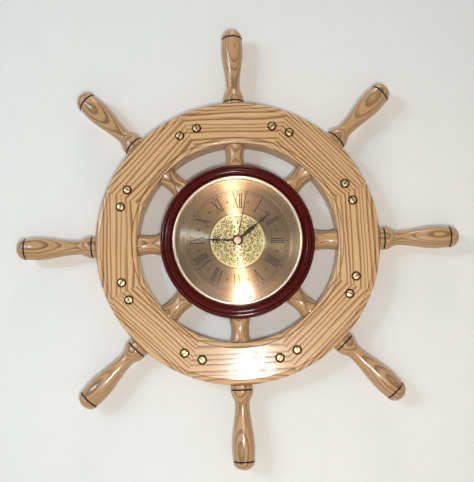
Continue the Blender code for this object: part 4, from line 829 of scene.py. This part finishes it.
def finish(name, **constants):
    """A new material: its tree and its Principled shader, with constants on the shader's own sockets."""
    made = bpy.data.materials.new(name)
    made.use_nodes = True
    shader = made.node_tree.nodes["Principled BSDF"]
    connect(made.node_tree, shader, {key.replace("_", " "): value for key, value in constants.items()})
    return made, made.node_tree, shader


def dress(piece, look, body, slot, *nodes):
    """Gives a piece its look, the body it rides on and the CAD nodes it stands for. `slot`, its record slot,
    is not used.
    """
    piece.data.materials.clear()
    piece.data.materials.append(look)
    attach(piece, body)
    if nodes:
        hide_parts(*nodes)


print("material helpers ready")

# %% [markdown]
# ## Wood
# Ash is ring porous: each year starts with a dark band of open pores and ends in smooth pale wood. So the
# colour is worked out in the log itself, from the distance to the pith: rings 2 to 4 mm apart, pores
# stretched along the grain inside the dark bands, and slow changes of tone. Cut straight, the rings show as
# parallel lines. On a turned handle the same rings show as nested tongues, with nothing painted on.

# %% A function for wood in the log
UNEVEN = 0.8  # of a ring: how far one year may be wider or narrower than the next


def log_noise(tree, scale, detail):
    """Noise in the log, by how often in a metre it changes along the grain, across it and through it."""
    grain = add(tree, "Attribute", attribute_name="grain", out="Vector")
    place = add(tree, "Mapping", {"Vector": grain, "Scale": scale})
    return add(tree, "TexNoise", {"Vector": place, "Scale": 1.0, "Detail": detail})


def wood(name, pale, middle, dark, ring_mm, strength, gloss, scorch_and_shade="#120A06", wander=0.9,
         open_grain=0.0, **constants):
    """Wood from the `grain` attribute: ring number = distance from the pith / ring width, plus a wander.
    Varnish gives it the roughness `gloss`, except on what `dark` marks: burnt lines on the spindles, and
    painted shade and grime on the rim. Where the grain is left open, the pores dent the varnish too, so they
    stay dark inside a glare."""
    made, tree, shader = finish(name, **constants)
    grain = add(tree, "Attribute", attribute_name="grain", out="Vector")
    flat = add(tree, "VectorMath", {0: grain, 1: (0, 1, 1)}, operation="MULTIPLY")
    distance = add(tree, "VectorMath", {0: flat}, operation="LENGTH", out="Value")
    rings = add(tree, "Math", {0: distance, 1: 1000 / ring_mm}, operation="MULTIPLY")
    wobble = log_noise(tree, (9, 60, 60), 2.0)
    shifted = add(tree, "Math", {0: wobble, 1: wander * 2, 2: rings}, operation="MULTIPLY_ADD")
    uneven = add(tree, "TexNoise", {"W": shifted, "Scale": 0.55, "Detail": 1.0}, noise_dimensions="1D")
    number = add(tree, "Math", {0: uneven, 1: UNEVEN, 2: shifted}, operation="MULTIPLY_ADD")
    share = add(tree, "Math", {0: number}, operation="FRACT")
    band = add(tree, "ValToRGB", {0: share}, stops=[(0.0, "#000000"), (0.08, "#FFFFFF"), (0.3, "#D8D8D8"),
                                                    (0.55, "#303030"), (1.0, "#000000")])
    year = add(tree, "Math", {0: number}, operation="FLOOR")
    season = add(tree, "TexWhiteNoise", {"W": year}, noise_dimensions="1D")
    heft = add(tree, "MapRange", {"Value": season, "To Min": 0.7, "To Max": 1.0})
    early = add(tree, "Math", {0: band, 1: heft}, operation="MULTIPLY")
    pore = log_noise(tree, (160, 2600, 2600), 1.0)
    open_pore = add(tree, "MapRange", {"Value": pore, "From Min": 0.58, "From Max": 0.68})
    in_band = add(tree, "Math", {0: open_pore, 1: early}, operation="MULTIPLY")

    tone = log_noise(tree, (12, 45, 45), 2.0)
    base = add(tree, "Mix", {0: tone, 6: pale, 7: middle}, data_type="RGBA", out=2)
    amount = add(tree, "Math", {0: early, 1: strength}, operation="MULTIPLY")
    ringed = add(tree, "Mix", {0: amount, 6: base, 7: dark}, data_type="RGBA", out=2)
    fibre = log_noise(tree, (40, 1500, 1500), 3.0)
    shade = add(tree, "MapRange", {"Value": fibre, "From Min": 0.3, "From Max": 0.7,
                                   "To Min": 0.90, "To Max": 1.06})
    fibred = add(tree, "VectorMath", {0: ringed, 3: shade}, operation="SCALE")
    pored = add(tree, "Mix", {0: in_band, 6: fibred, 7: dark}, data_type="RGBA", out=2)
    # `dark` marks burnt lines, and the painted shade and grime in the rim's step and seats.
    darkened = add(tree, "Attribute", attribute_name="dark", out="Fac")
    result = add(tree, "Mix", {0: darkened, 6: pored, 7: scorch_and_shade}, data_type="RGBA", out=2)
    rough = add(tree, "MapRange", {"Value": darkened, "To Min": gloss, "To Max": 0.9})
    hollow = {"Height": add(tree, "Math", {0: in_band, 1: fibre}, operation="ADD"), "Distance": 0.0002}
    bump = add(tree, "Bump", {**hollow, "Strength": 0.1}, invert=True)
    connect(tree, shader, {"Base Color": result, "Roughness": rough, "Normal": bump})
    if open_grain:
        dented = add(tree, "Bump", {**hollow, "Strength": open_grain}, invert=True)
        connect(tree, shader, {"Coat Normal": dented})
    return made


print("wood ready")

# %% Put the wood on
# Sawn boards, varnished over open pores: brown lines that stay dark where the flash glares off the varnish.
# Its dark colour is the painted shade and grime in the rim's step and the screws' seats.
ash = wood("ash_varnished", "#DEB382", "#CC9C68", "#784A1E", 3.0, 1.0, 0.4, scorch_and_shade="#3A1C06",
           open_grain=0.22, Specular_IOR_Level=0.35, Coat_Weight=0.4, Coat_Roughness=0.13)
# Turned, sanded fine and varnished: long tongues of grain under one smooth streak of light.
ash_turned = wood("ash_turned_varnished", "#C69A6A", "#B48556", "#62441C", 2.1, 0.85, 0.34, wander=0.6,
                  Coat_Weight=0.6, Coat_Roughness=0.14)
# Stained, filled and polished: a red so dark that the thin bright lines on its bead draw the shape.
mahogany = wood("mahogany_polished", "#5E1410", "#420C09", "#1C0403", 1.6, 0.6, 0.14,
                Specular_IOR_Level=0.1, Coat_Weight=0.2, Coat_Roughness=0.05)

for number in range(SPOKES):
    dress(segments[number], ash, "wheel", "rim_wood", f"front_segment_{number + 1}")
    dress(spindles[number], ash_turned, "wheel", "spindle_wood", f"spindle_{number + 1}")
dress(backing, ash, "wheel", "rim_wood", "backing_ring")
dress(hub, mahogany, "wheel", "hub_wood", "hub_body")
print("wood on", 2 * SPOKES + 2, "pieces")

# %% [markdown]
# ## Brass, gold and glass
# Polished brass is a smooth metal with the faint fingerprints and tarnish of handling. Spun brass is the same
# metal with fine rings, so its highlight is stretched across them. The shader's anisotropy does that. The
# glass carries a trace of handling, which softens the edge of the lamp's reflection in it.

# %% Helpers for metal, ink and glass
def place_noise(tree, scale, detail=3.0):
    """Noise on the object's own coordinates, by size in metres."""
    place = add(tree, "TexCoord", out="Object")
    return add(tree, "TexNoise", {"Vector": place, "Scale": scale, "Detail": detail})


def toned(name, one, other, scale, detail=3.0, **constants):
    """A finish whose colour wanders between two. Also gives back the noise that it follows, and the tone."""
    made, tree, shader = finish(name, **constants)
    worn = place_noise(tree, scale, detail)
    tone = add(tree, "Mix", {0: worn, 6: one, 7: other}, data_type="RGBA", out=2)
    connect(tree, shader, {"Base Color": tone})
    return made, tree, shader, worn, tone


def metal(name, bright, dull, scale, low, high, tarnish_and_shade=None):
    """A metal whose colour and roughness wander between two values with handling. Where `dark` is written
    on the piece, it takes the colour given for its tarnish and painted shade."""
    made, tree, shader, worn, tone = toned(name, bright, dull, scale, Metallic=1.0)
    rough = add(tree, "MapRange", {"Value": worn, "From Min": 0.3, "From Max": 0.7,
                                   "To Min": low, "To Max": high})
    if tarnish_and_shade:
        gathered = add(tree, "Attribute", attribute_name="dark", out="Fac")
        tone = add(tree, "Mix", {0: gathered, 6: tone, 7: tarnish_and_shade}, data_type="RGBA", out=2)
    connect(tree, shader, {"Base Color": tone, "Roughness": rough})
    return made


def ink(name, dark, light, scale=2500):
    """Printing ink or enamel, thinner in places."""
    return toned(name, dark, light, scale, 2.0, Roughness=0.5, Specular_IOR_Level=0.2)[0]


def about_axis(tree):
    """The object's own coordinates, the same without depth, and the distance from the clock's axis."""
    place = add(tree, "TexCoord", out="Object")
    flat = add(tree, "VectorMath", {0: place, 1: (1, 0, 1)}, operation="MULTIPLY")
    return place, flat, add(tree, "VectorMath", {0: flat}, operation="LENGTH", out="Value")


def spun(name, steepest=0.32, **constants):
    """A lacquered finish with rings round the clock's axis. The metal's gloss is stretched across them, and
    the lacquer follows them: its normal leans in or out by chance, as normal + outward x slope. Also gives
    back the distance from the axis."""
    made, tree, shader = finish(name, Anisotropic=1.0, Anisotropic_Rotation=0.25, Coat_Weight=1.0,
                                Coat_Roughness=0.11, **constants)
    _, flat, radius = about_axis(tree)
    outward = add(tree, "VectorMath", {0: flat}, operation="NORMALIZE")
    chance = add(tree, "TexWhiteNoise", {"W": radius}, noise_dimensions="1D")
    slope = add(tree, "MapRange", {"Value": chance, "To Min": -steepest, "To Max": steepest})
    lean = add(tree, "VectorMath", {0: outward, 3: slope}, operation="SCALE")
    straight = add(tree, "NewGeometry", out="Normal")
    leaning = add(tree, "VectorMath", {0: straight, 1: lean}, operation="ADD")
    lacquer = add(tree, "VectorMath", {0: leaning}, operation="NORMALIZE")
    round_middle = add(tree, "Tangent", direction_type="RADIAL", axis="Y")
    connect(tree, shader, {"Tangent": round_middle, "Coat Normal": lacquer})
    return made, tree, shader, radius


def let_through(tree, shader, share, tint="#FFFFFF"):
    """Makes a finish transparent by a share, which may be another node's output."""
    clear = add(tree, "BsdfTransparent", {"Color": tint})
    mixed = add(tree, "MixShader", {0: share, 1: shader.outputs[0], 2: clear})
    connect(tree, tree.nodes["Material Output"], {"Surface": mixed})


print("helpers for metal, ink and glass ready")

# %% Brass and gold
# Buffed bright, then handled: pale gold with soft reflections, and one ring of light on the bezel's crest.
polished_brass = metal("brass_polished", "#FFF2DC", "#F8E2C2", 120, 0.3, 0.38)
# Turned from bar and never cleaned since: warm domes, with tarnish and painted shade in the slot and round
# the rim.
screw_brass = metal("brass_screw_stock", "#FFE8B4", "#F8CC86", 300, 0.36, 0.46, tarnish_and_shade="#421A00")

# Spun under an abrasive pad and lacquered: dull gold, crossed by a white bow-tie. Lacquer has an IOR of 1.5,
# and 3.0 makes up for the light that its gloss loses when the rings spread it. The ring of the trough round
# the medallion is coloured darker.
spun_brass, tree, shader, radius = spun("brass_spun_lacquered", Metallic=1.0, Coat_IOR=3.0)
rings = add(tree, "TexNoise", {"W": radius, "Scale": 1400, "Detail": 4.0}, noise_dimensions="1D")
tone = add(tree, "ValToRGB", {0: rings}, stops=[(0.3, "#A07036"), (0.7, "#C48F4E")])
spread = add(tree, "MapRange", {"Value": rings, "To Min": 0.28, "To Max": 0.35})
recessed = add(tree, "MapRange", {"Value": radius, "From Min": (MEDALLION_RADIUS + 1.2) * MM,
                                  "From Max": (MEDALLION_RADIUS + 1.9) * MM, "To Min": 0.62, "To Max": 1.0})
shaded = add(tree, "VectorMath", {0: tone, 3: recessed}, operation="SCALE")
connect(tree, shader, {"Base Color": shaded, "Roughness": spread})

# Gilded pale and lacquered: creamy, with a weaker bow-tie that leaves the scrollwork to be seen.
pale_gold, tree, shader, _ = spun("medallion_gold_lacquered", Metallic=0.4, Coat_IOR=2.5, Roughness=0.33)
tone = add(tree, "ValToRGB", {0: place_noise(tree, 900, 4.0)}, stops=[(0.3, "#D6B674"), (0.7, "#F0D498")])
connect(tree, shader, {"Base Color": tone})
print("four metals")

# %% Ink, enamel, copper and glass
# Screen-printed: a matt brown near black for the hours, a faint olive for the filigree. The hands' enamel is
# stoved, a warm black that doesn't shine.
brown_ink = ink("ink_dark_brown", "#180C06", "#2E1A0C")
olive_ink = ink("ink_olive", "#524418", "#766430")
black_enamel = ink("enamel_black", "#140803", "#1E0F07", 400)

# Lacquered copper: a dark red needle, with the flash's reflection painted on its boss and tail as a pale
# colour.
PALE_BOSS, PALE_TAIL = SECOND_BOSS + 0.2, -4.0
copper_red, tree, shader = finish("copper_lacquered", Metallic=0.5, Roughness=0.42)
place, _, reach = about_axis(tree)
height = add(tree, "SeparateXYZ", {0: place}, out="Z")
on_boss = add(tree, "Math", {0: reach, 1: PALE_BOSS * MM}, operation="LESS_THAN")
on_tail = add(tree, "Math", {0: height, 1: PALE_TAIL * MM}, operation="LESS_THAN")
# The pale boss and tail are a painted reflection.
pale = add(tree, "Math", {0: on_boss, 1: on_tail}, operation="MAXIMUM")
tone = add(tree, "Mix", {0: pale, 6: "#5C2810", 7: "#BC967C"}, data_type="RGBA", out=2)
handled = add(tree, "MapRange", {"Value": place_noise(tree, 300), "To Min": 0.85, "To Max": 1.08})
connect(tree, shader, {"Base Color": add(tree, "VectorMath", {0: tone, 3: handled}, operation="SCALE")})

# Mineral glass with a film of handling: clear, but the flash's reflection in it has a soft edge. The lamps'
# light goes straight through, as it would through a thin pane.
clear_glass, tree, shader = finish("mineral_glass", Transmission_Weight=1.0, Roughness=0.0, IOR=1.52)
film = add(tree, "MapRange", {"Value": place_noise(tree, 60, 4.0), "From Min": 0.3, "From Max": 0.8,
                              "To Min": 0.05, "To Max": 0.08})
connect(tree, shader, {"Base Color": "#FFFFFF", "Roughness": film})
let_through(tree, shader, add(tree, "LightPath", out="Is Shadow Ray"), "#F4F6F2")
print("inks, enamel, copper and glass")

# %% Dress the insert clock
for number, screw in enumerate(screws):
    dress(screw, screw_brass, "wheel", "screw_brass", f"rim_screw_{number + 1}")
dress(bezel, polished_brass, "wheel", "bezel_brass", "bezel")
dress(lens, clear_glass, "wheel", "glass", "lens")
dress(dial, spun_brass, "wheel", "dial_brass", "dial")
dress(medallion, pale_gold, "wheel", "dial_brass")
for piece in (numerals, track_marks, half_marks, *track_rings):
    dress(piece, brown_ink, "wheel", "hand_black")
for piece in (scrolls, leaves):
    dress(piece, olive_ink, "wheel", "hand_black")
dress(hour_hand, black_enamel, "hours", "hand_black", "hour_hand")
dress(minute_hand, black_enamel, "minutes", "hand_black", "minute_hand")
dress(second_hand, copper_red, "seconds", "hand_copper", "second_hand")
print("metal, ink and glass on the insert clock")

# %% [markdown]
# ## Pieces kept from the CAD
# The movement, its battery and the hanger keep their CAD shapes. A material could be one plain colour, since
# the case hides them, but an opened clock is read by its materials: creamy wheels, bright contacts, a warm
# coil. So each gets the finish that such a piece has.

# %% Finishes of the movement
def moulded(name, light, dark, grit_per_metre, roughness, **constants):
    """Moulded plastic or rubber: a faint change of tone and the mould's fine grain as a bump."""
    made, tree, shader, grit, _ = toned(name, light, dark, grit_per_metre, 4.0, Roughness=roughness,
                                        **constants)
    rough = add(tree, "Bump", {"Height": grit, "Strength": 0.25, "Distance": 0.0001})
    connect(tree, shader, {"Normal": rough})
    return made


kept = {
    # Moulded plastics, with the mould's spark-eroded grain: an even black case, creamy wheels.
    moulded("abs_black_moulded", "#242424", "#191919", 3000, 0.5): [
        "movement_front_case", "movement_rear_cover", "set_knob"],
    moulded("acetal_moulded", "#EDE9DE", "#DDD8CA", 1500, 0.4): [
        "reduction_wheel", "seconds_wheel", "third_wheel", "centre_wheel", "motion_wheel", "hour_wheel"],
    # Moulded rubber is the dullest black of all. A shrunk sleeve is glossy, and a fired magnet is stony grey.
    moulded("nitrile_rubber", "#1C1C1C", "#121212", 900, 0.75): ["gasket"],
    moulded("battery_sleeve_pvc", "#2F4A6B", "#27405E", 200, 0.35, Coat_Weight=0.4): ["battery"],
    moulded("ferrite_sintered", "#3A3A3C", "#2A2A2C", 2500, 0.6): ["rotor"],
    # Drawn tinplate looks warm and silvery, plated steel colder, and both show where they were handled.
    metal("tinplate_drawn", "#D9D6CC", "#BDB9AC", 90, 0.25, 0.4): ["insert_cup"],
    metal("steel_zinc_plated", "#D5D8DA", "#AEB4B8", 150, 0.25, 0.45): ["hanger_plate"],
    metal("spring_steel_nickel_plated", "#D8D4CA", "#B9B4A8", 250, 0.2, 0.35): [
        "battery_contact_plus", "battery_contact_minus"],
    # Cut brass and enamelled wire are the two warm spots. Rolled transformer steel beside them is dull grey.
    metal("brass_cut", "#E3C27A", "#C29A50", 250, 0.25, 0.4): ["fixing_nut", "minute_pipe"],
    metal("transformer_steel", "#8F9296", "#6E7276", 400, 0.35, 0.5): ["stator"],
    metal("copper_winding_enamelled", "#C8743C", "#9A4E22", 2000, 0.3, 0.45): ["coil_and_board"],
}
for look, names in kept.items():
    for name in names:
        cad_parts[name].data.materials.clear()
        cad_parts[name].data.materials.append(look)
shown = [name for name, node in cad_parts.items() if not node.hide_render]
print("kept from the CAD:", len(shown), "missing a look:",
      sorted(set(shown) - {name for names in kept.values() for name in names}))

# %% [markdown]
# ## Wall, floor and light
# The clock hangs on a plain pale wall over a plain pale floor. The wall can't be seen from behind and stops
# no light, so that the back can be looked at too. The lamp stands where the photographer's flash was, close
# to the camera and a little under it. That is what puts the bow-tie on the dial and the glare on the rim's
# bottom. A grey sky fills the shadows, a large soft lamp to the side gives form, and a small cool one stands
# where a window was, for the weak streaks at nine and three o'clock. One above lights the upper edges, and a
# last one the back.

# %% The stage
WALL_Y, FLOOR_Z, ROOM = 0.0006, -0.36, 3.0


def flat_sheet(name, corners, look):
    """One face of the room, which is not a piece of the clock."""
    mesh = bpy.data.meshes.new(name)
    mesh.from_pydata(corners, [], [(0, 1, 2, 3)])
    mesh.materials.append(look)
    placed(name, mesh)


# Rolled matt paint: one quiet tone, against which the wood looks warm.
wall_paint, tree, shader, *_ = toned("wall_matt_paint", "#E9E6E0", "#E5E2DB", 40, Roughness=0.9)
behind = add(tree, "NewGeometry", out="Backfacing")
lamp_ray = add(tree, "LightPath", out="Is Shadow Ray")
let_through(tree, shader, add(tree, "Math", {0: behind, 1: lamp_ray}, operation="MAXIMUM"))
sides = [(-ROOM, FLOOR_Z), (ROOM, FLOOR_Z), (ROOM, ROOM), (-ROOM, ROOM)]
flat_sheet("wall", [(x, WALL_Y, z) for x, z in sides], wall_paint)
floor_paint = moulded("floor_matt", "#D9D6CF", "#D5D2CB", 60, 0.9)
flat_sheet("floor", [(-ROOM, -ROOM, FLOOR_Z), (ROOM, -ROOM, FLOOR_Z), (ROOM, ROOM, FLOOR_Z),
                     (-ROOM, ROOM, FLOOR_Z)], floor_paint)
print("wall and floor")

# %% The lamps
def lamp(name, place, size, power, tint="#FFFFFF"):
    """A round soft lamp at a place, facing the clock's middle."""
    data = bpy.data.lights.new(name, "AREA")
    data.shape, data.size, data.energy, data.color = "DISK", size, power, colour(tint)[:3]
    facing = Vector(place).to_track_quat("Z", "Y").to_matrix().to_4x4()
    placed(name, data).matrix_world = Matrix.Translation(Vector(place)) @ facing


lamp("flash", (0.02, -0.70, -0.165), 0.068, 2.3)
lamp("side", (-1.4, -1.3, 0.5), 0.6, 6, "#E4EEFF")
lamp("above", (0.1, -0.5, 1.6), 0.5, 5, "#FFF0DC")
lamp("window", (-0.95, -1.3, 0.38), 0.12, 4.5, "#A0D4F4")
lamp("behind", (0.7, 1.5, 0.7), 0.8, 7)
world = bpy.data.worlds.new("room")
world.use_nodes = True
tree = world.node_tree
direction = add(tree, "TexCoord", out="Generated")
forward = add(tree, "SeparateXYZ", {0: direction}, out="Y")
dim_room = add(tree, "MapRange", {"Value": forward, "From Min": -1.0, "From Max": -0.7,
                                  "To Min": 0.06, "To Max": 0.46})
connect(tree, tree.nodes["Background"], {"Color": "#FFFFFF", "Strength": dim_room})
bpy.context.scene.world = world
bpy.context.scene.view_settings.view_transform = "Standard"
print("stage and lamps ready")
